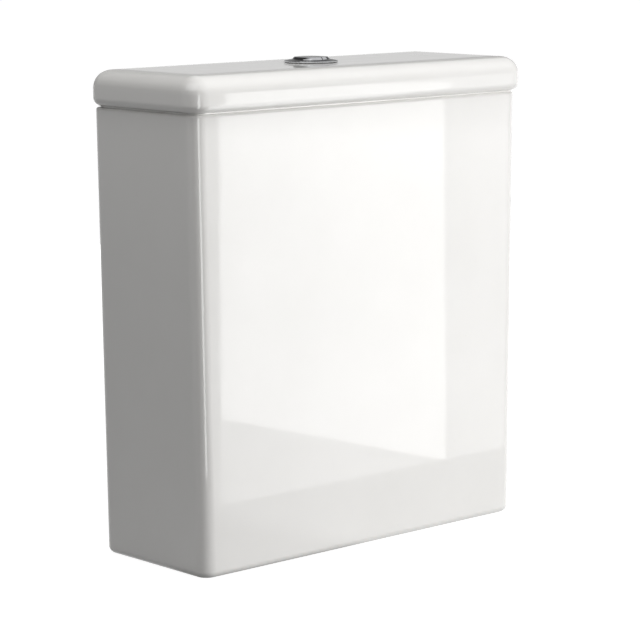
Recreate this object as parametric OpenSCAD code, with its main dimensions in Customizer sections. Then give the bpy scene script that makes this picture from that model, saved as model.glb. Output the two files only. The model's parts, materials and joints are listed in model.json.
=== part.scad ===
// Close-coupled toilet cistern of glazed china, with a lid, a dual push button, a drop flush valve,
// a bottom-entry float valve and its coupling bolts. Sizes are in millimetres.
// The origin is the centre of the flush outlet, on the plane of the base.
// X runs to the right, Y to the back and Z up.

/* [Tank] */
// Width of the tank across its rim
tank_w = 377; // [360:1:440]
// Depth of the tank from front to back
tank_d = 137.5; // [126:0.5:180]
// Height of the tank from its base to its rim
tank_h = 385; // [350:1:440]
// How far each end leans in from the rim down to the base
tank_draft = 5; // [0:0.5:8]
// Thickness of the tank's walls
tank_wall = 10; // [8:0.5:12]
// Thickness of the tank's floor
floor_t = 12; // [9:0.5:16]
// Depth of the recess under the base
base_recess = 4; // [2:0.5:8]
// Width of the foot rim round the recess
base_rim = 18; // [14:1:22]
// Radius of the tank's upright corners
corner_r = 13; // [11:0.5:18]
// Radius of the upright corners inside the tank
inner_corner_r = 12; // [10:0.5:16]
// Radius of the tank's bottom edge
base_edge_r = 6; // [3:0.5:9]
// Radius of the fillet round the floor inside the tank
inner_fillet_r = 8; // [4:0.5:10]
// Radius of the rim's outer edge
rim_edge_r = 2.5; // [1:0.25:4]
// Distance between the two wall fixing holes
wall_hole_gap = 180; // [120:1:260]
// Distance of the wall fixing holes below the rim
wall_hole_drop = 52; // [40:1:80]
// Diameter of the wall fixing holes
wall_hole_d = 10; // [7:0.5:12]

/* [Lid] */
// Height of the lid
lid_h = 30.5; // [28:0.5:40]
// How far the lid overhangs the rim at the front and the ends
lid_overhang = 5; // [2:0.5:8]
// How far the lid overhangs the rim at the back
lid_back_overhang = 0.5; // [0:0.25:2]
// Radius of the lid's top edge
lid_top_r = 15; // [8:0.5:16]
// Radius of the lid's bottom edge
lid_bottom_r = 7; // [3:0.5:9]
// Thickness of the lid's top
lid_top_t = 10; // [8:0.5:12]
// Gap between the lid's guide rib and the inside of the tank
lid_guide_clear = 3; // [2:0.25:5]
// Thickness of the lid's guide rib
lid_guide_t = 6; // [4:0.5:9]
// How far the guide rib drops into the tank
lid_guide_drop = 8; // [5:0.5:12]
// Diameter of the soft pads between lid and rim
pad_d = 7; // [5:0.5:7]
// Thickness of the soft pads between lid and rim
pad_t = 1.2; // [0.8:0.1:2]
// Distance between the two pads at each end
pad_gap = 70; // [50:1:84]

/* [Push button] */
// Diameter of the bezel's flange
bezel_d = 47; // [45:0.5:56]
// Height of the bezel above its gasket
bezel_h = 2; // [1.5:0.1:6]
// Thickness of the bezel's flange at its edge
bezel_edge_t = 0.9; // [0.6:0.1:1.5]
// Thickness of the gasket under the bezel
gasket_t = 0.8; // [0.5:0.1:1.5]
// Diameter of the button hole in the lid
lid_hole_d = 40; // [39:0.5:43]
// Outside diameter of the bezel's sleeve
sleeve_d = 37.5; // [36:0.1:38]
// Wall of the bezel's sleeve
sleeve_wall = 2; // [1.6:0.1:2.2]
// Length of the bezel's sleeve under its flange
sleeve_len = 44; // [38:1:56]
// Thickness of the guide plate at the foot of the sleeve
guide_t = 3; // [2:0.25:5]
// Travel of each button
button_travel = 6; // [4:0.25:7]
// Thickness of each button's cap
button_t = 5; // [4:0.25:7]
// Height of the buttons' tapered rim above the bezel
button_rise = 2; // [1:0.1:4]
// How far that rim tapers in
button_taper = 1.8; // [0.5:0.1:3]
// Rise of the buttons' crown above their rim
button_crown = 0.5; // [0.3:0.1:2]
// Width of the cut between the two buttons
button_split = 0.8; // [0.6:0.1:1.2]
// Offset of that cut from the middle
split_offset = 1; // [0:0.25:2]
// Diameter of the buttons' stems
stem_d = 7; // [6.5:0.25:7.5]
// How far the stems reach below the sleeve
stem_out = 9; // [8:0.5:14]
// Diameter of the push rods
rod_d = 5; // [4:0.25:5]
// Depth of the socket for the rod in each stem
rod_socket = 12; // [8:0.5:16]
// Distance between the two push rods
rod_gap = 17; // [16:0.25:18]
// Diameter of the wire of the button springs
spring_wire = 1; // [0.6:0.1:1.2]
// Number of turns of each button spring
spring_turns = 7; // [5:1:9]
// Diameter of the clamp nut under the lid
clamp_nut_d = 56; // [52:1:64]
// Height of the clamp nut under the lid
clamp_nut_h = 12; // [8:0.5:16]

/* [Flush valve] */
// Diameter of the outlet hole in the floor
outlet_hole_d = 65; // [62:0.5:68]
// Diameter of the threaded spigot
spigot_d = 60; // [57:0.5:61]
// Diameter of the spigot's plain tail
tail_d = 57; // [55:0.5:58]
// Length of the spigot's plain tail
tail_len = 18; // [12:0.5:22]
// Bore of the spigot
spigot_bore = 52; // [49:0.5:53]
// How far the spigot reaches below the base
spigot_reach = 50; // [46:0.5:70]
// Diameter of the valve's flange inside the tank
valve_flange_d = 88; // [86:0.5:94]
// Thickness of the valve's flange
valve_flange_t = 5; // [4:0.5:7]
// Thickness of the washer under the valve's flange
valve_washer_t = 3; // [2:0.25:5]
// Diameter of the back nut under the floor
back_nut_d = 82; // [78:0.5:90]
// Height of the back nut under the floor
back_nut_h = 12; // [9:0.5:14]
// Outside diameter of the soft coupling ring
coupling_ring_d = 90; // [84:0.5:100]
// Height of the valve's seat above its flange
seat_h = 3; // [2:0.25:4]
// Width of the valve's seat
seat_w = 3; // [2:0.25:4]
// Outside diameter of the tower at its foot
tower_d = 80; // [78:0.5:84]
// Wall of the tower
tower_wall = 3; // [2.5:0.25:3.5]
// Height of the tower above the flange
tower_h = 166; // [150:1:170]
// Thickness of the tower's deck
deck_t = 4; // [3:0.25:6]
// Height of the windows at the foot of the tower
window_h = 40; // [30:1:56]
// Width of the windows at the foot of the tower
window_w = 38; // [28:1:42]
// Outside diameter of the overflow tube
tube_d = 28; // [26:0.5:30]
// Wall of the overflow tube
tube_wall = 2.5; // [2:0.25:3]
// Height of the overflow edge above the floor
overflow_level = 212; // [206:1:230]
// Outside diameter of the outlet seal
seal_d = 62; // [60:0.5:66]
// Thickness of the outlet seal
seal_t = 3; // [2:0.25:4]
// Thickness of the plate above the outlet seal
seal_plate_t = 3; // [2:0.25:5]
// Height of the retaining ring below the outlet seal
retainer_h = 4; // [3:0.25:6]
// Outside diameter of the main float on the tube
main_float_d = 68; // [60:0.5:70]
// Height of the main float
main_float_h = 60; // [40:1:64]
// Height of the main float above the floor
main_float_level = 74; // [70:1:78]
// Height of the lifting rings on the tube
lift_ring_h = 10; // [8:0.5:10]
// Wall of the lifting rings
lift_ring_wall = 4; // [3:0.25:5]
// Distance from the push rod to the rocker's pin
effort_arm = 12.5; // [12:0.25:14]
// Distance from the rocker's pin to its lifting end
load_arm = 14; // [13:0.25:16]
// Width of each rocker
rocker_w = 10; // [8:0.25:11]
// Thickness of each rocker's bar
rocker_t = 4; // [3:0.25:5]
// Diameter of the rockers' pins
pin_d = 4; // [3:0.25:5]
// Thickness of the cheeks that carry the pins
cheek_t = 3; // [2.5:0.25:4]
// Thickness of the frame's beam
beam_t = 6; // [4:0.5:8]
// Size of the half-flush float along X
half_float_w = 20; // [14:0.5:24]
// Size of the half-flush float along Y
half_float_d = 36; // [24:1:50]
// Height of the half-flush float
half_float_h = 40; // [24:1:50]
// Diameter of the half-flush float's stem
half_stem_d = 6; // [5:0.25:8]
// Length of the half-flush float's stem below its arm
half_stem_len = 92; // [70:1:110]

/* [Float valve] */
// Distance from the inlet to the inside of the end wall
inlet_wall_gap = 38.5; // [34:0.5:46]
// Diameter of the inlet hole in the floor
inlet_hole_d = 24; // [23:0.5:28]
// Diameter of the inlet's connecting thread
inlet_d = 20.96; // [20:0.02:21]
// Diameter of the inlet where it passes the floor
inlet_neck_d = 21.5; // [21.4:0.1:22]
// Bore of the inlet
inlet_bore = 11; // [9:0.5:12]
// How far the inlet reaches below the base
inlet_reach = 46; // [36:1:60]
// Diameter of the inlet's flange inside the tank
inlet_flange_d = 36; // [32:0.5:44]
// Thickness of the inlet's flange
inlet_flange_t = 5; // [4:0.5:7]
// Thickness of the washer under the inlet's flange
inlet_washer_t = 3; // [2:0.25:5]
// Width across the flats of the inlet's back nut
inlet_nut_af = 32; // [28:0.5:36]
// Height of the inlet's back nut
inlet_nut_h = 11; // [8:0.5:14]
// Length of the strainer in the inlet
strainer_len = 24; // [16:1:30]
// Diameter of the supply riser
riser_d = 16; // [15:0.5:18]
// Diameter of the discharge jacket round the riser
jacket_d = 26; // [24:0.5:28]
// Wall of the discharge jacket
jacket_wall = 2; // [1.5:0.25:2.5]
// Height of the valve head's underside above the floor
head_level = 236; // [226:1:250]
// Diameter of the valve head
head_d = 42; // [40:0.5:46]
// Height of the valve head
head_h = 30; // [28:0.5:36]
// Height of the cap above the valve head
cap_h = 6; // [5:0.5:9]
// How far the cap's skirt overlaps the valve head
cap_skirt = 8; // [6:0.5:10]
// Wall of the cap's skirt
cap_wall = 2.5; // [2:0.25:3]
// Thickness of the diaphragm
diaphragm_t = 1.6; // [1:0.1:2]
// Diameter of the diaphragm
diaphragm_d = 34; // [30:0.5:36]
// Distance from the valve head to the arm's pin
arm_pin_out = 7; // [6:0.25:9]
// Length of the arm from its pin to the link rod
arm_len = 34; // [30:0.5:38]
// Width of the arm
arm_w = 8; // [6:0.5:10]
// Thickness of the arm
arm_t = 4; // [3:0.25:5]
// Diameter of the arm's pin
arm_pin_d = 3; // [2:0.25:4]
// Swing of the arm to each side of level, in degrees
arm_swing = 15; // [10:0.5:18]
// Outside diameter of the float
float_d = 58; // [50:0.5:64]
// Height of the float
float_h = 60; // [40:1:70]
// Wall of the floats
float_wall = 2; // [1.5:0.25:3]
// Height of the float above the floor when it is down
float_level = 116; // [90:1:125]
// Diameter of the link rod
link_d = 5; // [4:0.25:6]
// Height of the thumb nuts on the link rod
thumb_nut_h = 4; // [3:0.25:6]
// Diameter of the thumb nuts on the link rod
thumb_nut_d = 11; // [9:0.5:13]

/* [Fixings] */
// Distance between the two coupling bolts
bolt_gap = 150; // [142:1:180]
// Diameter of the bolts' threads
bolt_d = 8; // [7.5:0.1:9]
// Diameter of the bolts' plain waist
bolt_waist_d = 7.2; // [6.4:0.1:7.2]
// Length of the bolts' plain waist
bolt_waist = 21.5; // [16:0.5:26]
// Diameter of the bolt holes in the floor
bolt_hole_d = 12; // [11:0.5:14]
// How far the bolts reach below the base
bolt_reach = 50; // [48:0.5:64]
// Width across the flats of bolt heads and lock nuts
bolt_af = 13; // [12:0.5:15]
// Height of the bolts' heads
bolt_head_h = 5.5; // [4:0.5:7]
// Height of the lock nuts
lock_nut_h = 6.5; // [5:0.5:8]
// Diameter of the soft washers on the bolts
soft_washer_d = 26; // [22:0.5:30]
// Thickness of the upper soft washers
upper_washer_t = 4; // [3:0.25:6]
// Thickness of the lower soft washers
lower_washer_t = 3; // [2:0.25:4]
// Diameter of the plate washers
plate_washer_d = 20; // [17:0.5:22]
// Thickness of the plate washers
plate_washer_t = 1.6; // [1:0.1:2.5]
// Height of the wing nuts' hubs
wing_hub_h = 9; // [7:0.5:11]
// Diameter of the wing nuts' hubs
wing_hub_d = 15; // [13:0.5:18]
// Span of the wing nuts over their wings
wing_span = 34; // [30:0.5:40]
// Rise of the wings past the hub
wing_rise = 5; // [3:0.5:7]

/* [Clearances] */
// Gap round a piece that is fixed in another
fixed_clear = 0.1; // [0.05:0.05:0.2]
// Gap round a piece that slides in another
slide_clear = 0.35; // [0.25:0.05:0.5]
// Gap round a pin that a piece turns on
pin_clear = 0.1; // [0.05:0.05:0.2]
// Gap between a pushing tip and the face that it pushes
tip_clear = 0.3; // [0.2:0.05:0.5]
// Gap between a turning piece and its cheeks
side_clear = 0.4; // [0.3:0.05:0.6]
// Gap between the outlet seal and its seat
seat_clear = 0.1; // [0.05:0.05:0.2]
// Gap that keeps pieces which pass each other apart
pass_clear = 2; // [1.5:0.25:3]
// Gap between the main float and the tower round it
float_gap = 2.5; // [1.5:0.25:4]

/* [Hidden] */

$fn = 64;
shell_fn = 32;
arc_steps = 8;
cut = 1;

china = "white";
rubber = "#262626";
chrome = "#c8ccd0";
steel = "#a9adb2";
brass = "#c9a856";
white_plastic = "#f0f0ec";
grey_plastic = "#9aa2a8";
blue_plastic = "#2f6fb5";
red_plastic = "#c2382e";

// Levels of the floor and of the lid
z_floor = base_recess + floor_t;
z_lid = tank_h + pad_t;
z_lid_top = z_lid + lid_h;
z_ceiling = z_lid_top - lid_top_t;
lid_corner_r = corner_r + lid_overhang;
lid_w = tank_w + 2 * lid_overhang;
lid_front = -tank_d / 2 - lid_overhang;
lid_back = tank_d / 2 + lid_back_overhang;
guide_out = tank_wall + lid_guide_clear;
guide_in = guide_out + lid_guide_t;

// The rim's flat top, where the pads lie
pad_x = tank_w / 2 - (rim_edge_r + tank_wall) / 2;

// Levels and radii of the push button
z_bezel = z_lid_top + gasket_t;
z_sleeve_foot = z_bezel - sleeve_len;
z_guide_top = z_sleeve_foot + guide_t;
z_button_edge = z_bezel + bezel_h;
z_button_rim = z_button_edge + button_rise;
z_button_under = z_button_edge - button_t;
z_stem_foot = z_sleeve_foot - stem_out;
sleeve_bore_r = sleeve_d / 2 - sleeve_wall;
button_r = sleeve_bore_r - tip_clear;
bezel_lip = 1;
gasket_inset = 2;
rod_x = rod_gap / 2;
spring_r = (stem_d + spring_wire) / 2 + side_clear;
spring_len = z_button_under - z_guide_top - 2 * tip_clear;
spring_rings = 8;
spring_sides = 6;

// Levels of the flush valve
z_flange = z_floor + valve_washer_t;
z_flange_top = z_flange + valve_flange_t;
z_seat = z_flange_top + seat_h;
z_seal = z_seat + seat_clear;
z_seal_top = z_seal + seal_t;
z_tail = tail_len - spigot_reach;
z_back_nut = base_recess - back_nut_h;
z_deck = z_flange_top + tower_h;
z_overflow = z_floor + overflow_level;
z_tube_foot = z_seal - retainer_h;
tower_r = tower_d / 2;
chamber_r = main_float_d / 2 + float_gap + tower_wall;
z_chamber = z_floor + main_float_level - pass_clear;
tube_r = tube_d / 2;
tower_foot_h = 8;
tower_step = 6;
guide_sleeve_h = 16;
guide_sleeve_wall = 3.5;
retainer_wall = 8;

// The rockers' angles and levels
press_angle = button_travel / effort_arm * 180 / PI;
half_press = press_angle / 2;
effort_rise = effort_arm * sin(half_press);
load_drop = load_arm * sin(half_press);
valve_lift = 2 * load_drop;
effort_r = 4;
load_r = 3;
boss_r = pin_d / 2 + 3;
pin_x = rod_x + effort_arm;
load_x = pin_x + load_arm;
z_beam = z_overflow + 2 * valve_lift + pass_clear;
z_pin = z_beam + beam_t + effort_rise + effort_r + pass_clear;
z_rod_tip = z_pin + effort_rise + effort_r + tip_clear;
z_bar = z_pin - load_drop + load_r + tip_clear;
bar_t = 5;
cheek_y = rocker_w / 2 + side_clear;
cheek_end = pin_x + boss_r;
prong_y = rocker_w / 2 + pass_clear;
prong_t = 3;
prong_w = 2 * load_r;
lift_arm_t = 5;
lift_ring_r = tube_r + lift_ring_wall;
z_yoke = z_overflow - pass_clear - lift_ring_h;
z_carriage = z_yoke - tip_clear - lift_ring_h;
frame_leg_w = 12;
frame_leg_t = 5;
frame_leg_y = chamber_r - tower_wall - frame_leg_t - pass_clear;
half_stem_x = -chamber_r - pass_clear - half_float_w / 2;
z_half_float = z_carriage - half_stem_len;
half_foot_t = 3;

// Place and levels of the float valve
inlet_x = tank_w / 2 - tank_draft - tank_wall - inlet_wall_gap;
z_inlet_flange = z_floor + inlet_washer_t;
z_riser = z_inlet_flange + inlet_flange_t;
z_inlet_nut = base_recess - inlet_nut_h;
z_neck = z_inlet_nut - fixed_clear;
z_head = z_floor + head_level;
z_head_top = z_head + head_h;
jacket_socket = 8;
riser_socket = 18;
chamber_depth = 6;
z_jacket_foot = z_riser + 6;
arm_pin_x = inlet_x - head_d / 2 - arm_pin_out;
link_x = arm_pin_x - arm_len;
z_arm_pin = z_head + 10;
ear_r = arm_pin_d / 2 + 3.5;
float_rise = 2 * arm_len * tan(arm_swing);
z_arm_end = z_arm_pin - arm_len * tan(arm_swing);
fork_reach = 8;
nut_stand_off = arm_t / 2 / cos(arm_swing) + fork_reach * tan(arm_swing) + tip_clear;
z_float = z_floor + float_level;
z_float_top = z_float + float_h;
lug_t = 6;
lug_w = thumb_nut_d;
nozzle_rise = 8;
nozzle_r = 2;
pad_thick = 2;
finger_t = 3;

// Levels of the coupling bolts
bolt_r = bolt_d / 2;
z_upper_plate = z_floor + upper_washer_t;
z_bolt_head = z_upper_plate + plate_washer_t;
z_lower_plate = base_recess - lower_washer_t;
z_lock_nut = z_lower_plate - plate_washer_t - lock_nut_h;
z_waist = z_lock_nut - cut;
z_wing_washer = z_waist - bolt_waist - cut;
z_wing_plate = z_wing_washer - lower_washer_t;
z_wing_nut = z_wing_plate - plate_washer_t;

// Half the width of the tank's outside at a height
function half_w(z) = tank_w / 2 - tank_draft * (1 - z / tank_h);

// Points of an arc about a centre
function arc(centre, r, from, to) = [
    for (i = [0 : arc_steps])
        let (a = from + (to - from) * i / arc_steps)
        centre + r * [cos(a), sin(a)]
];

// Centre line of a spring that starts at height 0
function spring_point(i) = let (a = 360 * i / spring_rings) [
    spring_r * cos(a),
    spring_r * sin(a),
    spring_wire / 2 + (spring_len - spring_wire) * i / (spring_turns * spring_rings)
];

// A ring of points round the wire of a spring
function spring_ring(i) = let (a = 360 * i / spring_rings, c = spring_point(i)) [
    for (k = [0 : spring_sides - 1])
        let (b = 360 * k / spring_sides)
        c + spring_wire / 2 * (cos(b) * [cos(a), sin(a), 0] + sin(b) * [0, 0, 1])
];

// Least gap between one turn of a spring and the next
spring_gap = min([
    for (i = [0 : spring_rings * (spring_turns - 1)], k = [-1 : 1])
        norm(spring_point(i + spring_rings + k) - spring_point(i)) - spring_wire
]);
echo(spring_gap = spring_gap);

// A disc whose lower edge is rounded
module foot_disc(r, edge) {
    rotate_extrude($fn = shell_fn)
        polygon(concat([[0, 0]], arc([r - edge, edge], edge, -90, 0), [[0, edge]]));
}

// The same disc upside down, with its top at height 0
module crown_disc(r, edge) {
    mirror([0, 0, 1]) foot_disc(r, edge);
}

// A plate with round corners, given by its four sides
module round_plate(x, front, back, r, h) {
    linear_extrude(h)
        hull()
            for (sx = [-1, 1], y = [front + r, back - r])
                translate([sx * (x - r), y]) circle(r, $fn = shell_fn);
}

// A flat ring
module ring(d_out, d_in, h) {
    difference() {
        cylinder(d = d_out, h = h);
        translate([0, 0, -cut]) cylinder(d = d_in, h = h + 2 * cut);
    }
}

// A round float with a bore: a cup that is closed on top and open below
module float_shell(r, bore_r, h) {
    under = h - float_wall;
    rotate_extrude()
        polygon([
            [bore_r, 0],
            [bore_r + float_wall, 0],
            [bore_r + float_wall, under],
            [r - float_wall, under],
            [r - float_wall, 0],
            [r, 0],
            [r, h],
            [bore_r, h]
        ]);
}

// A hexagon by its width across the flats
module hexagon(af, h) {
    cylinder(d = af / cos(30), h = h, $fn = 6);
}

// A bar along Y, centred on its axis
module cross_bar(r, w) {
    rotate([90, 0, 0]) translate([0, 0, -w / 2]) cylinder(r = r, h = w);
}

// Puts a piece at both coupling bolts
module at_bolts(z) {
    for (sx = [-1, 1]) translate([sx * bolt_gap / 2, 0, z]) children();
}

// A rocker with its pushed end towards +X, level, about its pin
module rocker() {
    difference() {
        union() {
            translate([-load_arm, -rocker_w / 2, -rocker_t / 2])
                cube([load_arm + effort_arm, rocker_w, rocker_t]);
            cross_bar(boss_r, rocker_w);
            translate([effort_arm, 0, 0]) cross_bar(effort_r, rocker_w);
            translate([-load_arm, 0, 0]) cross_bar(load_r, rocker_w);
        }
        cross_bar(pin_d / 2 + pin_clear, rocker_w + 2 * cut);
    }
}

// A ring round the tube with a stirrup at -X that hooks over a rocker's end
module lifter(z, bore) {
    arm_end = load_x + prong_w / 2;
    difference() {
        union() {
            translate([0, 0, z]) cylinder(r = lift_ring_r, h = lift_ring_h);
            translate([-arm_end, -prong_y - prong_t, z])
                cube([arm_end, 2 * (prong_y + prong_t), lift_arm_t]);
            for (sy = [-1, 1])
                translate([-arm_end, sy * (prong_y + prong_t / 2) - prong_t / 2, z])
                    cube([prong_w, prong_t, z_bar + bar_t - z]);
            translate([-arm_end, -prong_y - prong_t, z_bar])
                cube([prong_w, 2 * (prong_y + prong_t), bar_t]);
        }
        translate([0, 0, z - cut]) cylinder(d = bore, h = lift_ring_h + 2 * cut);
    }
}

// A button spring standing at the origin, as one unbroken wire
module spring() {
    last = spring_turns * spring_rings;
    points = [for (i = [0 : last]) each spring_ring(i)];
    sides = [
        for (i = [0 : last - 1], k = [0 : spring_sides - 1])
            let (
                n = (k + 1) % spring_sides,
                a = i * spring_sides + k,
                b = i * spring_sides + n,
                c = a + spring_sides,
                d = b + spring_sides
            )
            each [[a, b, d], [a, d, c]]
    ];
    start = [for (k = [1 : spring_sides - 2]) [0, k + 1, k]];
    top = last * spring_sides;
    end = [for (k = [1 : spring_sides - 2]) [top, top + k, top + k + 1]];
    polyhedron(points, concat(sides, start, end));
}

// The half of the button's round that lies on one side of the cut
module button_side(side) {
    edge = side * button_split / 2 - split_offset;
    reach = 2 * button_r;
    translate([side > 0 ? edge : edge - reach, -reach, z_stem_foot - cut])
        cube([reach, 2 * reach, z_button_rim - z_stem_foot + 2 * cut + button_crown]);
}

// A button's cap and its stem with the rod's socket
module button(side) {
    rim_r = button_r - button_taper;
    crown_r = (rim_r * rim_r + button_crown * button_crown) / (2 * button_crown);
    crown_a = asin(rim_r / crown_r);
    profile = concat(
        [[0, z_button_under], [button_r, z_button_under], [button_r, z_button_edge]],
        arc([0, z_button_rim + button_crown - crown_r], crown_r, 90 - crown_a, 90)
    );
    difference() {
        union() {
            intersection() {
                rotate_extrude() polygon(profile);
                button_side(side);
            }
            translate([side * rod_x, 0, z_stem_foot])
                cylinder(d = stem_d, h = z_button_under - z_stem_foot + cut);
        }
        translate([side * rod_x, 0, z_stem_foot - cut])
            cylinder(d = rod_d + 2 * fixed_clear, h = rod_socket + cut);
    }
}

// A push rod from its stem down to its rocker
module push_rod(side) {
    top = z_stem_foot + rod_socket - fixed_clear;
    translate([side * rod_x, 0, z_rod_tip]) cylinder(d = rod_d, h = top - z_rod_tip);
}

// The hollow, open-topped tank with its holes
module tank() {
    front = -tank_d / 2;
    back = tank_d / 2;
    inner_x = half_w(z_floor) - tank_wall - inner_corner_r;
    inner_top_x = tank_w / 2 - tank_wall - inner_corner_r;
    inner_y = tank_d / 2 - tank_wall - inner_corner_r;
    color(china) difference() {
        hull()
            for (sx = [-1, 1], sy = [-1, 1]) {
                translate([sx * (half_w(0) - corner_r), sy * (back - corner_r), 0])
                    foot_disc(corner_r, base_edge_r);
                translate([sx * (tank_w / 2 - corner_r), sy * (back - corner_r), tank_h])
                    crown_disc(corner_r, rim_edge_r);
            }
        hull()
            for (sx = [-1, 1], sy = [-1, 1]) {
                translate([sx * inner_x, sy * inner_y, z_floor])
                    foot_disc(inner_corner_r, inner_fillet_r);
                translate([sx * inner_top_x, sy * inner_y, tank_h])
                    cylinder(r = inner_corner_r, h = cut, $fn = shell_fn);
            }
        translate([0, 0, -cut])
            round_plate(half_w(0) - base_rim, front + base_rim, back - base_rim,
                corner_r, base_recess + cut);
        cylinder(d = outlet_hole_d, h = z_floor + cut);
        at_bolts(0) cylinder(d = bolt_hole_d, h = z_floor + cut);
        translate([inlet_x, 0, 0]) cylinder(d = inlet_hole_d, h = z_floor + cut);
        for (sx = [-1, 1])
            translate([sx * wall_hole_gap / 2, back + cut, tank_h - wall_hole_drop])
                rotate([90, 0, 0]) cylinder(d = wall_hole_d, h = tank_wall + 2 * cut);
    }
}

// The lid, hollow underneath, with a rib that drops inside the rim
module lid() {
    rib_out_x = tank_w / 2 - guide_out;
    rib_out_y = tank_d / 2 - guide_out;
    rib_in_x = tank_w / 2 - guide_in;
    rib_in_y = tank_d / 2 - guide_in;
    z_rib = z_lid - lid_guide_drop;
    color(china) difference() {
        union() {
            hull()
                for (sx = [-1, 1], y = [lid_front + lid_corner_r, lid_back - lid_corner_r])
                    translate([sx * (lid_w / 2 - lid_corner_r), y, z_lid]) {
                        foot_disc(lid_corner_r, lid_bottom_r);
                        translate([0, 0, lid_h]) crown_disc(lid_corner_r, lid_top_r);
                    }
            translate([0, 0, z_rib])
                round_plate(rib_out_x, -rib_out_y, rib_out_y, corner_r, lid_guide_drop + cut);
        }
        translate([0, 0, z_rib - cut])
            round_plate(rib_in_x, -rib_in_y, rib_in_y, corner_r, z_ceiling - z_rib + cut);
        translate([0, 0, z_ceiling - cut]) cylinder(d = lid_hole_d, h = lid_top_t + 2 * cut);
    }
}

// Soft pads on the rim at both ends
module lid_pads() {
    color(rubber)
        for (sx = [-1, 1], sy = [-1, 1])
            translate([sx * pad_x, sy * pad_gap / 2, tank_h]) cylinder(d = pad_d, h = pad_t);
}

// Chromed bezel with its sleeve and the guide plate for the two stems
module button_bezel() {
    profile = [
        [sleeve_bore_r, z_sleeve_foot],
        [sleeve_d / 2, z_sleeve_foot],
        [sleeve_d / 2, z_bezel],
        [bezel_d / 2, z_bezel],
        [bezel_d / 2, z_bezel + bezel_edge_t],
        [sleeve_bore_r + bezel_lip, z_button_edge],
        [sleeve_bore_r, z_button_edge]
    ];
    color(chrome) difference() {
        union() {
            rotate_extrude() polygon(profile);
            translate([0, 0, z_sleeve_foot])
                cylinder(r = sleeve_bore_r + sleeve_wall / 2, h = guide_t);
        }
        for (side = [-1, 1])
            translate([side * rod_x, 0, z_sleeve_foot - cut])
                cylinder(d = stem_d + 2 * slide_clear, h = guide_t + 2 * cut);
    }
}

// Soft gasket between the bezel and the lid
module bezel_gasket() {
    color(rubber)
        translate([0, 0, z_lid_top])
            ring(bezel_d - 2 * gasket_inset, sleeve_d + 2 * fixed_clear, gasket_t);
}

// Nut that clamps the bezel from under the lid, with finger hollows round it
module clamp_nut() {
    hollows = 12;
    hollow_r = 3;
    color(white_plastic)
        translate([0, 0, z_ceiling - clamp_nut_h]) difference() {
            ring(clamp_nut_d, sleeve_d + 2 * fixed_clear, clamp_nut_h);
            for (i = [0 : hollows - 1])
                rotate(360 / hollows * i)
                    translate([clamp_nut_d / 2 + hollow_r / 2, 0, -cut])
                        cylinder(r = hollow_r, h = clamp_nut_h + 2 * cut);
        }
}

module full_button() {
    color(chrome) button(1);
}

module half_button() {
    color(chrome) button(-1);
}

module full_spring() {
    color(steel) translate([rod_x, 0, z_guide_top + tip_clear]) spring();
}

module half_spring() {
    color(steel) translate([-rod_x, 0, z_guide_top + tip_clear]) spring();
}

module full_rod() {
    color(blue_plastic) push_rod(1);
}

module half_rod() {
    color(red_plastic) push_rod(-1);
}

// Valve base: flange, threaded spigot, plain tail and the raised seat
module valve_base() {
    bore_r = spigot_bore / 2;
    profile = [
        [bore_r, -spigot_reach],
        [tail_d / 2, -spigot_reach],
        [tail_d / 2, z_tail],
        [spigot_d / 2, z_tail],
        [spigot_d / 2, z_flange],
        [valve_flange_d / 2, z_flange],
        [valve_flange_d / 2, z_flange_top],
        [bore_r + seat_w, z_flange_top],
        [bore_r + seat_w, z_seat],
        [bore_r, z_seat]
    ];
    color(grey_plastic) rotate_extrude() polygon(profile);
}

module valve_washer() {
    color(rubber)
        translate([0, 0, z_floor])
            ring(valve_flange_d - 2 * valve_washer_t, spigot_d + 2 * fixed_clear, valve_washer_t);
}

// Back nut with lugs for a spanner
module valve_back_nut() {
    lugs = 8;
    lug_size = 8;
    color(white_plastic)
        translate([0, 0, z_back_nut]) difference() {
            ring(back_nut_d, spigot_d + 2 * fixed_clear, back_nut_h);
            for (i = [0 : lugs - 1])
                rotate(360 / lugs * i)
                    translate([back_nut_d / 2 - lug_size / 2, -lug_size / 2, -cut])
                        cube([lug_size, lug_size, back_nut_h / 2 + cut]);
        }
}

// Soft ring that seals the spigot below the back nut
module coupling_ring() {
    edge = 5;
    h = z_back_nut - z_tail - fixed_clear;
    outer = coupling_ring_d / 2;
    inner = spigot_d / 2 + tip_clear;
    profile = concat(
        [[inner, 0]],
        arc([outer - edge, edge], edge, -90, 0),
        arc([outer - edge, h - edge], edge, 0, 90),
        [[inner, h]]
    );
    color(rubber) translate([0, 0, z_tail + fixed_clear]) rotate_extrude() polygon(profile);
}

// Tower: a shell on four feet, wide enough for the main float, with a deck that guides the tube
module valve_tower() {
    windows = 4;
    deck_hole_r = 5;
    inner_r = chamber_r - tower_wall;
    sleeve_r = tube_r + guide_sleeve_wall;
    bore_r = tube_r + slide_clear;
    deck_hole_at = (sleeve_r + inner_r) / 2;
    reach = max(tower_r, chamber_r) + cut;
    profile = [
        [tower_r - tower_wall, z_flange_top],
        [tower_r, z_flange_top],
        [tower_r, z_chamber - tower_step],
        [chamber_r, z_chamber],
        [chamber_r, z_deck],
        [bore_r, z_deck],
        [bore_r, z_deck - guide_sleeve_h],
        [sleeve_r, z_deck - guide_sleeve_h],
        [sleeve_r, z_deck - deck_t],
        [inner_r, z_deck - deck_t],
        [inner_r, z_chamber],
        [tower_r - tower_wall, z_chamber - tower_step]
    ];
    color(white_plastic) difference() {
        rotate_extrude() polygon(profile);
        for (i = [0 : windows - 1]) {
            rotate(360 / windows * i)
                translate([0, -window_w / 2, z_flange_top + tower_foot_h])
                    cube([reach, window_w, window_h]);
            rotate(360 / windows * (i + 0.5))
                translate([deck_hole_at, 0, z_deck - deck_t - cut])
                    cylinder(r = deck_hole_r, h = deck_t + 2 * cut);
        }
    }
}

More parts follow.
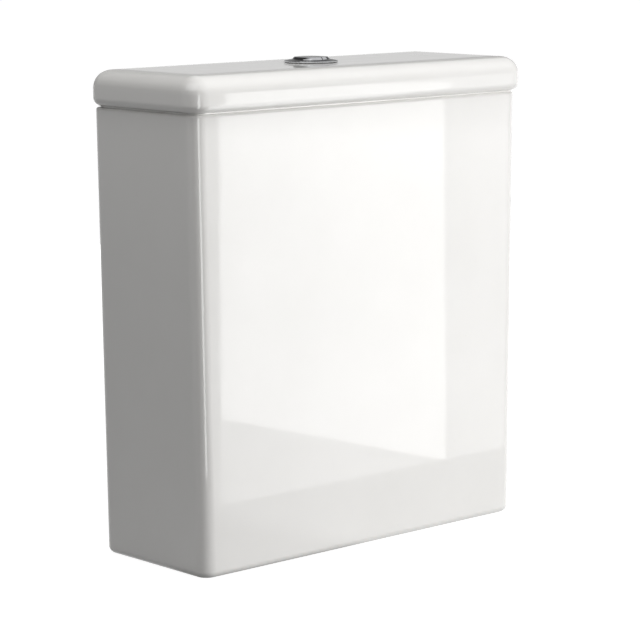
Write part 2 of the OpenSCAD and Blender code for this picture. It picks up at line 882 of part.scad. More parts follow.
// Frame on the deck that carries both rockers between its cheeks
module rocker_frame() {
    beam_y = frame_leg_y + frame_leg_t;
    color(grey_plastic) difference() {
        union() {
            for (sy = [-1, 1]) {
                translate([-frame_leg_w / 2, sy * (frame_leg_y + frame_leg_t / 2) - frame_leg_t / 2, z_deck])
                    cube([frame_leg_w, frame_leg_t, z_beam + beam_t - z_deck]);
                translate([-cheek_end, sy * (cheek_y + cheek_t / 2) - cheek_t / 2, z_beam])
                    cube([2 * cheek_end, cheek_t, z_pin + boss_r - z_beam]);
            }
            translate([-frame_leg_w / 2, -beam_y, z_beam]) cube([frame_leg_w, 2 * beam_y, beam_t]);
        }
        for (sx = [-1, 1])
            translate([sx * pin_x, 0, z_pin])
                cross_bar(pin_d / 2 + fixed_clear, 2 * (cheek_y + cheek_t + cut));
    }
}

module rocker_pins() {
    pin_len = 2 * (cheek_y + cheek_t + cut);
    color(steel)
        for (sx = [-1, 1]) translate([sx * pin_x, 0, z_pin]) cross_bar(pin_d / 2, pin_len);
}

module full_rocker() {
    color(blue_plastic)
        mirror([1, 0, 0]) translate([-pin_x, 0, z_pin]) rotate([0, -half_press, 0]) rocker();
}

module half_rocker() {
    color(red_plastic) translate([-pin_x, 0, z_pin]) rotate([0, -half_press, 0]) rocker();
}

// Overflow tube with the plate that backs the outlet seal
module overflow_tube() {
    color(white_plastic) difference() {
        union() {
            translate([0, 0, z_tube_foot]) cylinder(r = tube_r, h = z_overflow - z_tube_foot);
            translate([0, 0, z_seal_top]) cylinder(d = seal_d - 2, h = seal_plate_t);
        }
        translate([0, 0, z_tube_foot - cut])
            cylinder(r = tube_r - tube_wall, h = z_overflow - z_tube_foot + 2 * cut);
    }
}

module outlet_seal() {
    color(rubber) translate([0, 0, z_seal]) ring(seal_d, tube_d + 2 * fixed_clear, seal_t);
}

module seal_retainer() {
    color(grey_plastic)
        translate([0, 0, z_seal - retainer_h])
            ring(tube_d + 2 * retainer_wall, tube_d + 2 * fixed_clear, retainer_h);
}

// Main float: a cup fixed to the tube, open below
module main_float() {
    color(white_plastic)
        translate([0, 0, z_floor + main_float_level])
            float_shell(main_float_d / 2, tube_r + fixed_clear, main_float_h);
}

// Yoke fixed to the tube, lifted by the full-flush rocker
module lift_yoke() {
    color(blue_plastic) mirror([1, 0, 0]) lifter(z_yoke, tube_d + 2 * fixed_clear);
}

// Carriage that slides on the tube, lifted by the half-flush rocker, with the half float's stem
module half_carriage() {
    stem_foot = z_half_float - half_foot_t;
    color(red_plastic) {
        lifter(z_carriage, tube_d + 2 * slide_clear);
        translate([half_stem_x - half_stem_d, -half_stem_d, z_carriage])
            cube([half_stem_d - half_stem_x - load_x, 2 * half_stem_d, lift_arm_t]);
        translate([half_stem_x, 0, stem_foot])
            cylinder(d = half_stem_d, h = z_carriage - stem_foot + cut);
        translate([half_stem_x, 0, stem_foot])
            cylinder(d = 2 * half_stem_d, h = half_foot_t);
    }
}

// Half-flush float: a box on the carriage's stem, open below round a sleeve
module half_float() {
    bore = half_stem_d + 2 * fixed_clear;
    inner_w = half_float_w - 2 * float_wall;
    inner_d = half_float_d - 2 * float_wall;
    color(white_plastic)
        translate([half_stem_x, 0, z_half_float]) difference() {
            translate([-half_float_w / 2, -half_float_d / 2, 0])
                cube([half_float_w, half_float_d, half_float_h]);
            difference() {
                translate([-inner_w / 2, -inner_d / 2, -cut])
                    cube([inner_w, inner_d, half_float_h - float_wall + cut]);
                translate([0, 0, -2 * cut])
                    cylinder(d = bore + 2 * float_wall, h = half_float_h + 2 * cut);
            }
            translate([0, 0, -cut]) cylinder(d = bore, h = half_float_h + 2 * cut);
        }
}

// Threaded inlet with its flange and the riser that feeds the valve head
module inlet_riser() {
    top = z_head + riser_socket - fixed_clear;
    bore_r = inlet_bore / 2;
    profile = [
        [bore_r, -inlet_reach],
        [inlet_d / 2, -inlet_reach],
        [inlet_d / 2, z_neck],
        [inlet_neck_d / 2, z_neck],
        [inlet_neck_d / 2, z_inlet_flange],
        [inlet_flange_d / 2, z_inlet_flange],
        [inlet_flange_d / 2, z_riser],
        [riser_d / 2, z_riser],
        [riser_d / 2, top],
        [bore_r, top]
    ];
    color(white_plastic) translate([inlet_x, 0, 0]) rotate_extrude() polygon(profile);
}

module inlet_washer() {
    color(rubber)
        translate([inlet_x, 0, z_floor])
            ring(inlet_flange_d, inlet_neck_d + 2 * fixed_clear, inlet_washer_t);
}

module inlet_nut() {
    color(white_plastic)
        translate([inlet_x, 0, z_inlet_nut]) difference() {
            hexagon(inlet_nut_af, inlet_nut_h);
            translate([0, 0, -cut])
                cylinder(d = inlet_neck_d + 2 * fixed_clear, h = inlet_nut_h + 2 * cut);
        }
}

// Strainer basket pushed into the inlet's mouth
module inlet_strainer() {
    wall = 1.2;
    slots = 6;
    slot_w = 2;
    end_h = 4;
    outer = inlet_bore - 2 * fixed_clear;
    color(blue_plastic)
        translate([inlet_x, 0, -inlet_reach]) difference() {
            cylinder(d = outer, h = strainer_len);
            translate([0, 0, -cut]) cylinder(d = outer - 2 * wall, h = strainer_len - wall + cut);
            for (i = [0 : slots - 1])
                rotate(360 / slots * i)
                    translate([0, -slot_w / 2, end_h])
                        cube([outer, slot_w, strainer_len - 2 * end_h]);
        }
}

// Jacket that leads the water down round the riser and lets it out at its foot
module discharge_jacket() {
    slots = 3;
    slot_w = 8;
    slot_h = 14;
    h = z_head + jacket_socket - fixed_clear - z_jacket_foot;
    color(grey_plastic)
        translate([inlet_x, 0, z_jacket_foot]) difference() {
            ring(jacket_d, jacket_d - 2 * jacket_wall, h);
            for (i = [0 : slots - 1])
                rotate(360 / slots * i)
                    translate([0, -slot_w / 2, -cut]) cube([jacket_d, slot_w, slot_h + cut]);
        }
}

// Valve head with sockets for riser and jacket, ears for the arm's pin and the pilot nozzle
module valve_head() {
    ear_y = arm_w / 2 + side_clear;
    ear_len = head_d / 2 + arm_pin_out;
    nozzle_len = arm_pin_out - finger_t / 2 - pad_thick - tip_clear;
    color(white_plastic)
        translate([inlet_x, 0, z_head]) difference() {
            union() {
                cylinder(d = head_d, h = head_h);
                for (sy = [-1, 1])
                    translate([-ear_len, sy * (ear_y + cheek_t / 2), z_arm_pin - z_head]) {
                        cross_bar(ear_r, cheek_t);
                        translate([0, -cheek_t / 2, -ear_r]) cube([ear_len, cheek_t, 2 * ear_r]);
                    }
                translate([-head_d / 2 - nozzle_len, 0, z_arm_pin - z_head + nozzle_rise])
                    rotate([0, 90, 0]) cylinder(r = nozzle_r, h = nozzle_len + tank_wall);
            }
            translate([0, 0, -cut])
                cylinder(d = jacket_d + 2 * fixed_clear, h = jacket_socket + cut);
            translate([0, 0, -cut])
                cylinder(d = riser_d + 2 * fixed_clear, h = riser_socket + cut);
            translate([0, 0, head_h - chamber_depth])
                cylinder(d = jacket_d, h = chamber_depth + cut);
            translate([-ear_len, 0, z_arm_pin - z_head])
                cross_bar(arm_pin_d / 2 + fixed_clear, 2 * (ear_y + cheek_t + cut));
        }
}

// Screw cap that clamps the diaphragm, with grip ribs
module head_cap() {
    ribs = 16;
    rib_r = 1.5;
    skirt_r = head_d / 2 + fixed_clear;
    outer_r = skirt_r + cap_wall;
    color(blue_plastic)
        translate([inlet_x, 0, z_head_top - cap_skirt]) difference() {
            union() {
                cylinder(r = outer_r, h = cap_skirt + cap_h);
                for (i = [0 : ribs - 1])
                    rotate(360 / ribs * (i + 0.5))
                        translate([outer_r, 0, 0]) cylinder(r = rib_r, h = cap_skirt);
            }
            translate([0, 0, -cut]) cylinder(r = skirt_r, h = cap_skirt + cut);
            cylinder(d = diaphragm_d + 2 * fixed_clear, h = cap_skirt + diaphragm_t);
        }
}

module diaphragm() {
    color(rubber)
        translate([inlet_x, 0, z_head_top]) cylinder(d = diaphragm_d, h = diaphragm_t);
}

// Puts a piece of the arm at its pin, with the arm down
module at_arm() {
    translate([arm_pin_x, 0, z_arm_pin]) rotate([0, -arm_swing, 0]) children();
}

// Arm with a slotted fork round the link rod and an upright finger over the pilot nozzle
module float_arm() {
    fork_w = link_d + 2 * slide_clear + 2 * cheek_t;
    finger_h = nozzle_rise + nozzle_r + pass_clear;
    color(grey_plastic) at_arm() difference() {
        union() {
            translate([fork_reach - arm_len, -arm_w / 2, -arm_t / 2])
                cube([arm_len - fork_reach, arm_w, arm_t]);
            translate([-arm_len - fork_reach, -fork_w / 2, -arm_t / 2])
                cube([2 * fork_reach + cut, fork_w, arm_t]);
            cross_bar(ear_r, arm_w);
            rotate([0, -arm_swing, 0])
                translate([-finger_t / 2, -arm_w / 2, 0]) cube([finger_t, arm_w, finger_h]);
        }
        cross_bar(arm_pin_d / 2 + pin_clear, arm_w + 2 * cut);
        translate([-arm_len - fork_reach - cut, -link_d / 2 - slide_clear, -arm_t / 2 - cut])
            cube([2 * fork_reach - cheek_t + cut, link_d + 2 * slide_clear, arm_t + 2 * cut]);
    }
}

// Soft pad on the arm's finger that shuts the pilot nozzle
module pilot_pad() {
    color(rubber) at_arm() rotate([0, -arm_swing, 0])
        translate([finger_t / 2, 0, nozzle_rise])
            rotate([0, 90, 0]) cylinder(r = nozzle_r + cut, h = pad_thick);
}

module arm_pin() {
    pin_len = 2 * (arm_w / 2 + side_clear + cheek_t + cut);
    color(steel) translate([arm_pin_x, 0, z_arm_pin]) cross_bar(arm_pin_d / 2, pin_len);
}

// Float cup, open below, with a lug that the link rod hangs in
module float_cup() {
    r = float_d / 2;
    lug_x = link_x - lug_w / 2;
    color(white_plastic) difference() {
        union() {
            translate([inlet_x, 0, z_float])
                float_shell(r, jacket_d / 2 + slide_clear, float_h);
            translate([lug_x, -lug_w / 2, z_float_top - lug_t])
                cube([inlet_x - r + float_wall - lug_x, lug_w, lug_t]);
        }
        translate([link_x, 0, z_float_top - lug_t - cut])
            cylinder(d = link_d + 2 * fixed_clear, h = lug_t + 2 * cut);
    }
}

// Link rod from the float's lug up through the arm's fork
module link_rod() {
    head_t = 3;
    foot = z_float_top - lug_t - head_t;
    top = z_arm_end + nut_stand_off + thumb_nut_h + pass_clear;
    color(white_plastic) {
        translate([link_x, 0, foot]) cylinder(d = thumb_nut_d, h = head_t);
        translate([link_x, 0, foot]) cylinder(d = link_d, h = top - foot);
    }
}

// Thumb nuts on the link rod: one on the lug and one on each side of the fork
module thumb_nuts() {
    levels = [
        z_float_top,
        z_arm_end - nut_stand_off - thumb_nut_h,
        z_arm_end + nut_stand_off
    ];
    color(blue_plastic)
        for (z = levels)
            translate([link_x, 0, z]) ring(thumb_nut_d, link_d + 2 * fixed_clear, thumb_nut_h);
}

// Bolts with a hexagon head, threaded ends and a plain waist
module coupling_bolts() {
    color(brass) {
        at_bolts(z_bolt_head) hexagon(bolt_af, bolt_head_h);
        at_bolts(z_waist) cylinder(r = bolt_r, h = z_bolt_head - z_waist);
        at_bolts(z_waist - bolt_waist) cylinder(d = bolt_waist_d, h = bolt_waist);
        at_bolts(-bolt_reach) cylinder(r = bolt_r, h = bolt_reach + z_waist - bolt_waist);
    }
}

// A pair of washers that fit the bolts
module washers(d, t, z) {
    at_bolts(z) ring(d, bolt_d + 2 * fixed_clear, t);
}

module upper_washers() {
    color(rubber) washers(soft_washer_d, upper_washer_t, z_floor);
}

module head_washers() {
    color(brass) washers(plate_washer_d, plate_washer_t, z_upper_plate);
}

module lower_washers() {
    color(rubber) washers(soft_washer_d, lower_washer_t, z_lower_plate);
}

module nut_washers() {
    color(brass) washers(plate_washer_d, plate_washer_t, z_lower_plate - plate_washer_t);
}

module lock_nuts() {
    color(brass) at_bolts(z_lock_nut) difference() {
        hexagon(bolt_af, lock_nut_h);
        translate([0, 0, -cut])
            cylinder(d = bolt_d + 2 * fixed_clear, h = lock_nut_h + 2 * cut);
    }
}

module wing_washers() {
    color(rubber) washers(soft_washer_d, lower_washer_t, z_wing_plate);
}

module wing_plates() {
    color(brass) washers(plate_washer_d, plate_washer_t, z_wing_nut);
}

// Wing nuts: a hub with two wings that spread downwards
module wing_nuts() {
    wing_t = 3;
    wing_lean = 2;
    half_span = wing_span / 2;
    outline = [
        [0, -wing_hub_h + wing_lean],
        [half_span - wing_lean, -wing_hub_h - wing_rise],
        [half_span, -wing_hub_h],
        [wing_hub_d / 2, -wing_lean],
        [0, -wing_lean]
    ];
    color(brass) at_bolts(z_wing_nut) difference() {
        union() {
            translate([0, 0, -wing_hub_h]) cylinder(d = wing_hub_d, h = wing_hub_h);
            for (a = [0, 180])
                rotate([90, 0, a])
                    translate([0, 0, -wing_t / 2]) linear_extrude(wing_t) polygon(outline);
        }
        translate([0, 0, -wing_hub_h - wing_rise - cut])
            cylinder(d = bolt_d + 2 * fixed_clear, h = wing_hub_h + wing_rise + 2 * cut);
    }
}

tank();
lid();
lid_pads();
button_bezel();
bezel_gasket();
clamp_nut();
full_button();
half_button();
full_spring();
half_spring();
full_rod();
half_rod();
valve_base();
valve_washer();
valve_back_nut();
coupling_ring();
valve_tower();
rocker_frame();
rocker_pins();
full_rocker();
half_rocker();
overflow_tube();
outlet_seal();
seal_retainer();
main_float();
lift_yoke();
half_carriage();
half_float();
inlet_riser();
inlet_washer();
inlet_nut();
inlet_strainer();
discharge_jacket();
valve_head();
head_cap();
diaphragm();
float_arm();
pilot_pad();
arm_pin();
float_cup();
link_rod();
thumb_nuts();
coupling_bolts();
upper_washers();
head_washers();
lower_washers();
nut_washers();
lock_nuts();
wing_washers();
wing_plates();
wing_nuts();
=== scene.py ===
"""A close-coupled cistern of white glazed china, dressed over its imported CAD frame.

The scene is in metres, in the frame of the CAD part: the origin is the centre of the flush
outlet on the plane of the base, X runs to the right, Y to the back and Z up. The sub-assemblies
hold their sizes in millimetres, and a mould casts them in metres.
"""

import json
import logging
import math
from dataclasses import dataclass, field
from enum import Enum
from typing import Any, Iterable, Sequence

import bmesh
import bpy
from mathutils import Matrix, Vector

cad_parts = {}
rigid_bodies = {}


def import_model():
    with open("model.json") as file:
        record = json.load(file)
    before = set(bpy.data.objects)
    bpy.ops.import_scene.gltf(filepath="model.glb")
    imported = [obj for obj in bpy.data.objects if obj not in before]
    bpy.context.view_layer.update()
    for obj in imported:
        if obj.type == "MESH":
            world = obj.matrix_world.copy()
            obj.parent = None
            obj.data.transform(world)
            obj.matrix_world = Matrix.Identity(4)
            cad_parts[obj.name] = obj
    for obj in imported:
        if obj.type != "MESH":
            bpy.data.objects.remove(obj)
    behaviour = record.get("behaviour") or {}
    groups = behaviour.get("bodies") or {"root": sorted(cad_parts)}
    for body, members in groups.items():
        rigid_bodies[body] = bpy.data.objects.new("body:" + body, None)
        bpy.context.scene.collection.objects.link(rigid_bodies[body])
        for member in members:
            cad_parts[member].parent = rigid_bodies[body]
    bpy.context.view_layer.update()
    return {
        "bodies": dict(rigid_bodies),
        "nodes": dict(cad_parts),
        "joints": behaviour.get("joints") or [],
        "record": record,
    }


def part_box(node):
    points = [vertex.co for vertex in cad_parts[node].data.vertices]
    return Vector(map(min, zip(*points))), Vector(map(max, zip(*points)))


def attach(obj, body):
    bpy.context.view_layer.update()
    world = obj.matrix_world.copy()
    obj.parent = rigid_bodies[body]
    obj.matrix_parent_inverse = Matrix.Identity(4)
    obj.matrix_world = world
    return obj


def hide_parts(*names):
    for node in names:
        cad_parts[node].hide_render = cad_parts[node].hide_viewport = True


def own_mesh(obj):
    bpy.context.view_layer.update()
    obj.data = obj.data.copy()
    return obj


LOG = logging.getLogger("cistern")

Point = tuple[float, float, float]
Band = tuple[float, float]
Section = list[tuple[float, float]]
Loop = list[bmesh.types.BMVert]

MM = 0.001
WHITE: Point = (1.0, 1.0, 1.0)
# Nearer than this, in millimetres, a corner lies on the axis, or two points are one.
ON_AXIS = 1e-6
WELD = 1e-4
# Edges above this angle, in degrees, stay hard.
HARD_EDGE = 38.0
# The most of a straight that the rounding of one of its corners takes.
ROUND_SHARE = 0.45
# The angles of a quarter turn, for the rounded edges of the china.
QUARTER = [math.radians(9 * i) for i in range(11)]


class Signal:
    """A shader socket that can be used in Python arithmetic."""

    def __init__(self, graph: "Graph", socket: bpy.types.NodeSocket) -> None:
        """Keeps the socket and the graph that new nodes go into."""
        self.graph = graph
        self.socket = socket

    def __add__(self, other: "Signal | float") -> "Signal":
        """Adds a socket or a number."""
        return self.graph.maths("ADD", self, other)

    __radd__ = __add__

    def __mul__(self, other: "Signal | float") -> "Signal":
        """Multiplies by a socket or a number."""
        return self.graph.maths("MULTIPLY", self, other)

    __rmul__ = __mul__

    def __sub__(self, other: "Signal | float") -> "Signal":
        """Takes away a socket or a number."""
        return self.graph.maths("SUBTRACT", self, other)

    def __rsub__(self, other: float) -> "Signal":
        """Takes this socket away from a number."""
        return self.graph.maths("SUBTRACT", other, self)

    def __truediv__(self, other: "Signal | float") -> "Signal":
        """Divides by a socket or a number."""
        return self.graph.maths("DIVIDE", self, other)

    def __lt__(self, other: "Signal | float") -> "Signal":
        """Gives 1 where this is less than the other."""
        return self.graph.maths("LESS_THAN", self, other)

    def __gt__(self, other: "Signal | float") -> "Signal":
        """Gives 1 where this is greater than the other."""
        return self.graph.maths("GREATER_THAN", self, other)

    def clipped(self) -> "Signal":
        """Holds the value between 0 and 1."""
        return self.graph.maths("MINIMUM", self.graph.maths("MAXIMUM", self, 0.0), 1.0)


class Tree:
    """A node tree that is built from Python."""

    def __init__(self, tree: bpy.types.NodeTree) -> None:
        """Empties the tree and starts in it."""
        self.tree = tree
        tree.nodes.clear()

    def node(self, kind: str, settings: dict[str, Any] | None = None,
             inputs: dict[str | int, Any] | None = None) -> bpy.types.Node:
        """Adds one node.

        Args:
            kind: The node's Blender type.
            settings: Attributes that are set first; "stops" sets a colour ramp.
            inputs: Values, signals or sockets for its inputs, by name or number.

        Returns:
            The new node.
        """
        made = self.tree.nodes.new(kind)
        for key, value in (settings or {}).items():
            if key == "stops":
                elements = made.color_ramp.elements
                while len(elements) < len(value):
                    elements.new(1.0)
                for element, (place, colour) in zip(elements, value):
                    element.position = place
                    element.color = (*colour, 1.0)
            else:
                setattr(made, key, value)
        for key, value in (inputs or {}).items():
            source = value.socket if isinstance(value, Signal) else value
            if isinstance(source, bpy.types.NodeSocket):
                self.tree.links.new(source, made.inputs[key])
            else:
                made.inputs[key].default_value = value
        return made


class Graph(Tree):
    """The node tree of a material, a lamp or the world."""

    # A Mix node has sockets of the same names for each kind of data, so those for colour go by number.
    MIX_SHARE, MIX_FIRST, MIX_SECOND, MIX_RESULT = 0, 6, 7, 2

    def out(self, node: bpy.types.Node, name: str | int = 0) -> Signal:
        """Gives one output of a node as a signal."""
        return Signal(self, node.outputs[name])

    def maths(self, operation: str, a: Signal | float, b: Signal | float) -> Signal:
        """Adds one Math node on two values."""
        return self.out(self.node("ShaderNodeMath", {"operation": operation}, {0: a, 1: b}))

    def spread(self, value: Signal, low: float, high: float, start: float = 0.0, end: float = 1.0) -> Signal:
        """Maps low..high of a value to start..end, held at both ends.

        Args:
            value: The signal to map.
            low: Input that gives start.
            high: Input that gives end.
            start: Output at low.
            end: Output at high.

        Returns:
            The mapped signal.
        """
        return self.out(self.node("ShaderNodeMapRange", {"clamp": True}, {
            "Value": value, "From Min": low, "From Max": high, "To Min": start, "To Max": end}))

    def tint(self, share: Signal, first: Sequence[float] | Signal,
             second: Sequence[float] | Signal) -> Signal:
        """Mixes two colours by a share.

        Args:
            share: 0 gives the first colour and 1 the second.
            first: A colour or a signal.
            second: A colour or a signal.

        Returns:
            The mixed colour.
        """
        first, second = (c if isinstance(c, Signal) else (*c, 1.0) for c in (first, second))
        return self.out(self.node("ShaderNodeMix", {"data_type": "RGBA"}, {
            self.MIX_SHARE: share, self.MIX_FIRST: first, self.MIX_SECOND: second}), self.MIX_RESULT)

    def place(self, stretch: Point | None = None) -> Signal:
        """Gives object coordinates, stretched along the axes where a stretch is given.

        Args:
            stretch: Factor along each axis, or None.

        Returns:
            The coordinates.
        """
        coords = self.out(self.node("ShaderNodeTexCoord"), "Object")
        if stretch is None:
            return coords
        return self.out(self.node("ShaderNodeMapping", {}, {"Vector": coords, "Scale": stretch}))

    def noise(self, place: Signal, scale: float, detail: float = 3.0, rough: float = 0.5) -> Signal:
        """Gives soft noise from 0 to 1.

        Args:
            place: The coordinates.
            scale: Features per metre.
            detail: Number of finer layers.
            rough: Strength of the finer layers.

        Returns:
            The noise value.
        """
        return self.out(self.node("ShaderNodeTexNoise", {}, {
            "Vector": place, "Scale": scale, "Detail": detail, "Roughness": rough}))

    def axis(self, place: Signal, name: str) -> Signal:
        """Gives one coordinate, named X, Y or Z."""
        return self.out(self.node("ShaderNodeSeparateXYZ", {}, {0: place}), name)

    def bump(self, height: Signal, strength: float, depth: float) -> Signal:
        """Turns a height into a normal.

        Args:
            height: The height signal, from 0 to 1.
            strength: How strongly it acts.
            depth: Depth of the relief in metres.

        Returns:
            The bumped normal.
        """
        return self.out(self.node("ShaderNodeBump", {}, {
            "Strength": strength, "Distance": depth, "Height": height}))

    def emission(self, strength: Signal, colour: Point = WHITE) -> Signal:
        """Adds a glow of one colour and a varying strength."""
        return self.out(self.node("ShaderNodeEmission", {}, {"Color": (*colour, 1.0), "Strength": strength}))

    def blend(self, share: Signal, first: Signal, second: Signal) -> Signal:
        """Mixes two shaders by a share."""
        return self.out(self.node("ShaderNodeMixShader", {}, {0: share, 1: first, 2: second}))


@dataclass(frozen=True)
class Finish:
    """What every finish shares: its name, its record slot and how it becomes a material."""

    name: str
    slot: str

    def paint(self, graph: Graph, shader: bpy.types.Node) -> None:
        """Fills the shader's sockets; each finish has its own way."""
        raise NotImplementedError

    def material(self) -> bpy.types.Material:
        """Makes the material, or gives the one that was made before.

        Returns:
            The material.
        """
        found = bpy.data.materials.get(self.name)
        if found:
            return found
        made = bpy.data.materials.new(self.name)
        made.use_nodes = True
        graph = Graph(made.node_tree)
        shader = graph.node("ShaderNodeBsdfPrincipled")
        self.paint(graph, shader)
        graph.node("ShaderNodeOutputMaterial", {}, {"Surface": graph.out(shader)})
        return made


def wire(graph: Graph, shader: bpy.types.Node, **signals: Signal) -> None:
    """Links signals to a shader's sockets; underscores in a name stand for spaces."""
    for name, value in signals.items():
        graph.tree.links.new(value.socket, shader.inputs[name.replace("_", " ")])


@dataclass(frozen=True)
class GlazedChina(Finish):
    """White vitreous china under a clear glaze, bare where it stands on its foot."""

    glaze: Point = (0.868, 0.858, 0.838)
    pooled: Point = (0.84, 0.83, 0.808)
    cloud_band: Band = (0.35, 0.7)
    biscuit: Point = (0.72, 0.68, 0.6)
    bare_below: float = 0.5 * MM
    bare_rough: float = 0.55
    speck: Point = (0.45, 0.42, 0.36)
    speck_share: float = 0.25
    speck_size: float = 0.035
    speck_rarity: float = 0.62
    haze_band: Band = (0.3, 0.75)
    gloss: Band = (0.035, 0.085)
    slow_wave: float = 0.8
    fine_wave: float = 0.06
    refraction: float = 1.52

    def paint(self, graph: Graph, shader: bpy.types.Node) -> None:
        """Paints a glaze with faint clouds, fine specks, slow waves and a bare foot.

        Args:
            graph: The material's nodes.
            shader: The shader that is painted.
        """
        place = graph.place()
        clouds = graph.noise(place, scale=9.0, detail=4.0, rough=0.55)
        cells = graph.out(graph.node("ShaderNodeTexVoronoi", {"feature": "F1"}, {
            "Vector": place, "Scale": 95.0, "Randomness": 1.0}), "Distance")
        rarity = graph.noise(place, scale=34.0, detail=1.0)
        specks = (cells < self.speck_size) * (rarity > self.speck_rarity)
        bare = graph.axis(place, "Z") < self.bare_below
        body = graph.tint(graph.spread(clouds, *self.cloud_band), self.glaze, self.pooled)
        body = graph.tint(specks * self.speck_share, body, self.speck)
        haze = graph.noise(place, scale=46.0)
        slow = graph.noise(place, scale=17.0, detail=2.0, rough=0.4)
        fine = graph.noise(place, scale=140.0, detail=2.0)
        wire(graph, shader,
             Base_Color=graph.tint(bare, body, self.biscuit),
             Roughness=graph.spread(haze, *self.haze_band, *self.gloss) + bare * self.bare_rough,
             Normal=graph.bump(slow * self.slow_wave + fine * self.fine_wave, strength=0.1, depth=0.9 * MM))
        shader.inputs["IOR"].default_value = self.refraction


@dataclass(frozen=True)
class MirrorChrome(Finish):
    """Bright chrome plating with faint wipe marks."""

    plating: Point = (0.62, 0.625, 0.635)
    smudge: Point = (0.5, 0.506, 0.518)
    smudge_band: Band = (0.4, 0.75)
    gloss_band: Band = (0.35, 0.8)
    gloss: Band = (0.045, 0.13)
    hair_run: Point = (1.0, 14.0, 14.0)
    hair_rough: float = 0.02

    def paint(self, graph: Graph, shader: bpy.types.Node) -> None:
        """Paints plating whose gloss varies with wipe marks and fine hairlines.

        Args:
            graph: The material's nodes.
            shader: The shader that is painted.
        """
        marks = graph.noise(graph.place(), scale=130.0, detail=5.0, rough=0.6)
        hair = graph.noise(graph.place(self.hair_run), scale=260.0, detail=2.0)
        wire(graph, shader,
             Base_Color=graph.tint(graph.spread(marks, *self.smudge_band), self.plating, self.smudge),
             Roughness=graph.spread(marks, *self.gloss_band, *self.gloss) + hair * self.hair_rough,
             Normal=graph.bump(hair, strength=0.04, depth=0.05 * MM))
        shader.inputs["Metallic"].default_value = 1.0


@dataclass(frozen=True)
class MouldedPlastic(Finish):
    """Injection-moulded plastic with flow clouding and a fine satin grain."""

    colour: Point = (0.8, 0.8, 0.78)
    flow: Point = (0.74, 0.74, 0.71)
    gloss: float = 0.32
    gloss_range: Band = (-0.05, 0.1)
    flow_band: Band = (0.3, 0.7)
    flow_run: Point = (1.0, 1.0, 0.35)
    refraction: float = 1.49

    def paint(self, graph: Graph, shader: bpy.types.Node) -> None:
        """Paints the clouding of the flow, the grain and its uneven gloss.

        Args:
            graph: The material's nodes.
            shader: The shader that is painted.
        """
        flow = graph.noise(graph.place(self.flow_run), scale=55.0, detail=4.0)
        grain = graph.noise(graph.place(), scale=1400.0, detail=2.0)
        rough = [self.gloss + change for change in self.gloss_range]
        wire(graph, shader,
             Base_Color=graph.tint(graph.spread(flow, *self.flow_band), self.colour, self.flow),
             Roughness=graph.spread(flow, *self.flow_band, *rough),
             Normal=graph.bump(grain, strength=0.12, depth=0.12 * MM))
        shader.inputs["IOR"].default_value = self.refraction


@dataclass(frozen=True)
class BlackRubber(Finish):
    """Dark sealing rubber with a dusty bloom."""

    colour: Point = (0.02, 0.02, 0.021)
    bloom: Point = (0.062, 0.061, 0.058)
    bloom_band: Band = (0.4, 0.75)
    rough_band: Band = (0.3, 0.7)
    rough: Band = (0.55, 0.8)

    def paint(self, graph: Graph, shader: bpy.types.Node) -> None:
        """Paints a mottled, matt skin.

        Args:
            graph: The material's nodes.
            shader: The shader that is painted.
        """
        place = graph.place()
        mottle = graph.noise(place, scale=160.0, detail=5.0, rough=0.65)
        grain = graph.noise(place, scale=1800.0, detail=2.0)
        wire(graph, shader,
             Base_Color=graph.tint(graph.spread(mottle, *self.bloom_band), self.colour, self.bloom),
             Roughness=graph.spread(mottle, *self.rough_band, *self.rough),
             Normal=graph.bump(grain, strength=0.3, depth=0.15 * MM))


@dataclass(frozen=True)
class DrawnMetal(Finish):
    """Bare metal with draw marks and patches of tarnish."""

    colour: Point = (0.58, 0.585, 0.59)
    tarnish: Point = (0.4, 0.4, 0.4)
    gloss: float = 0.22
    streak_run: Point = (1.0, 1.0, 26.0)
    streak_band: Band = (0.3, 0.7)
    streak_rough: float = 0.14
    tarnish_band: Band = (0.45, 0.75)
    tarnish_rough: float = 0.15

    def paint(self, graph: Graph, shader: bpy.types.Node) -> None:
        """Paints streaks round the piece and tarnish over them.

        Args:
            graph: The material's nodes.
            shader: The shader that is painted.
        """
        streaks = graph.noise(graph.place(self.streak_run), scale=90.0)
        patches = graph.noise(graph.place(), scale=75.0, detail=5.0, rough=0.6)
        dull = graph.spread(patches, *self.tarnish_band)
        wire(graph, shader,
             Base_Color=graph.tint(dull, self.colour, self.tarnish),
             Roughness=graph.spread(streaks, *self.streak_band, self.gloss, self.gloss + self.streak_rough)
             + dull * self.tarnish_rough,
             Normal=graph.bump(streaks, strength=0.1, depth=0.06 * MM))
        shader.inputs["Metallic"].default_value = 1.0


class Look(Enum):
    """The finishes of the cistern, each with the slot of the record that it follows."""

    CHINA = GlazedChina("white_glaze", "china")
    CHROME = MirrorChrome("button_chrome", "chrome")
    RUBBER = BlackRubber("seal_rubber", "rubber")
    WHITE = MouldedPlastic("valve_white", "white_plastic")
    GREY = MouldedPlastic("valve_grey", "grey_plastic", (0.33, 0.355, 0.375), (0.28, 0.305, 0.325), 0.38)
    BLUE = MouldedPlastic("valve_blue", "blue_plastic", (0.03, 0.13, 0.42), (0.022, 0.1, 0.34), 0.3)
    RED = MouldedPlastic("valve_red", "red_plastic", (0.52, 0.045, 0.03), (0.42, 0.035, 0.025), 0.3)
    STEEL = DrawnMetal("spring_steel", "steel")
    BRASS = DrawnMetal("bolt_brass", "brass", (0.74, 0.53, 0.21), (0.46, 0.3, 0.12), 0.24)


def held(share: float) -> float:
    """Holds a share between 0 and 1."""
    return min(max(share, 0.0), 1.0)


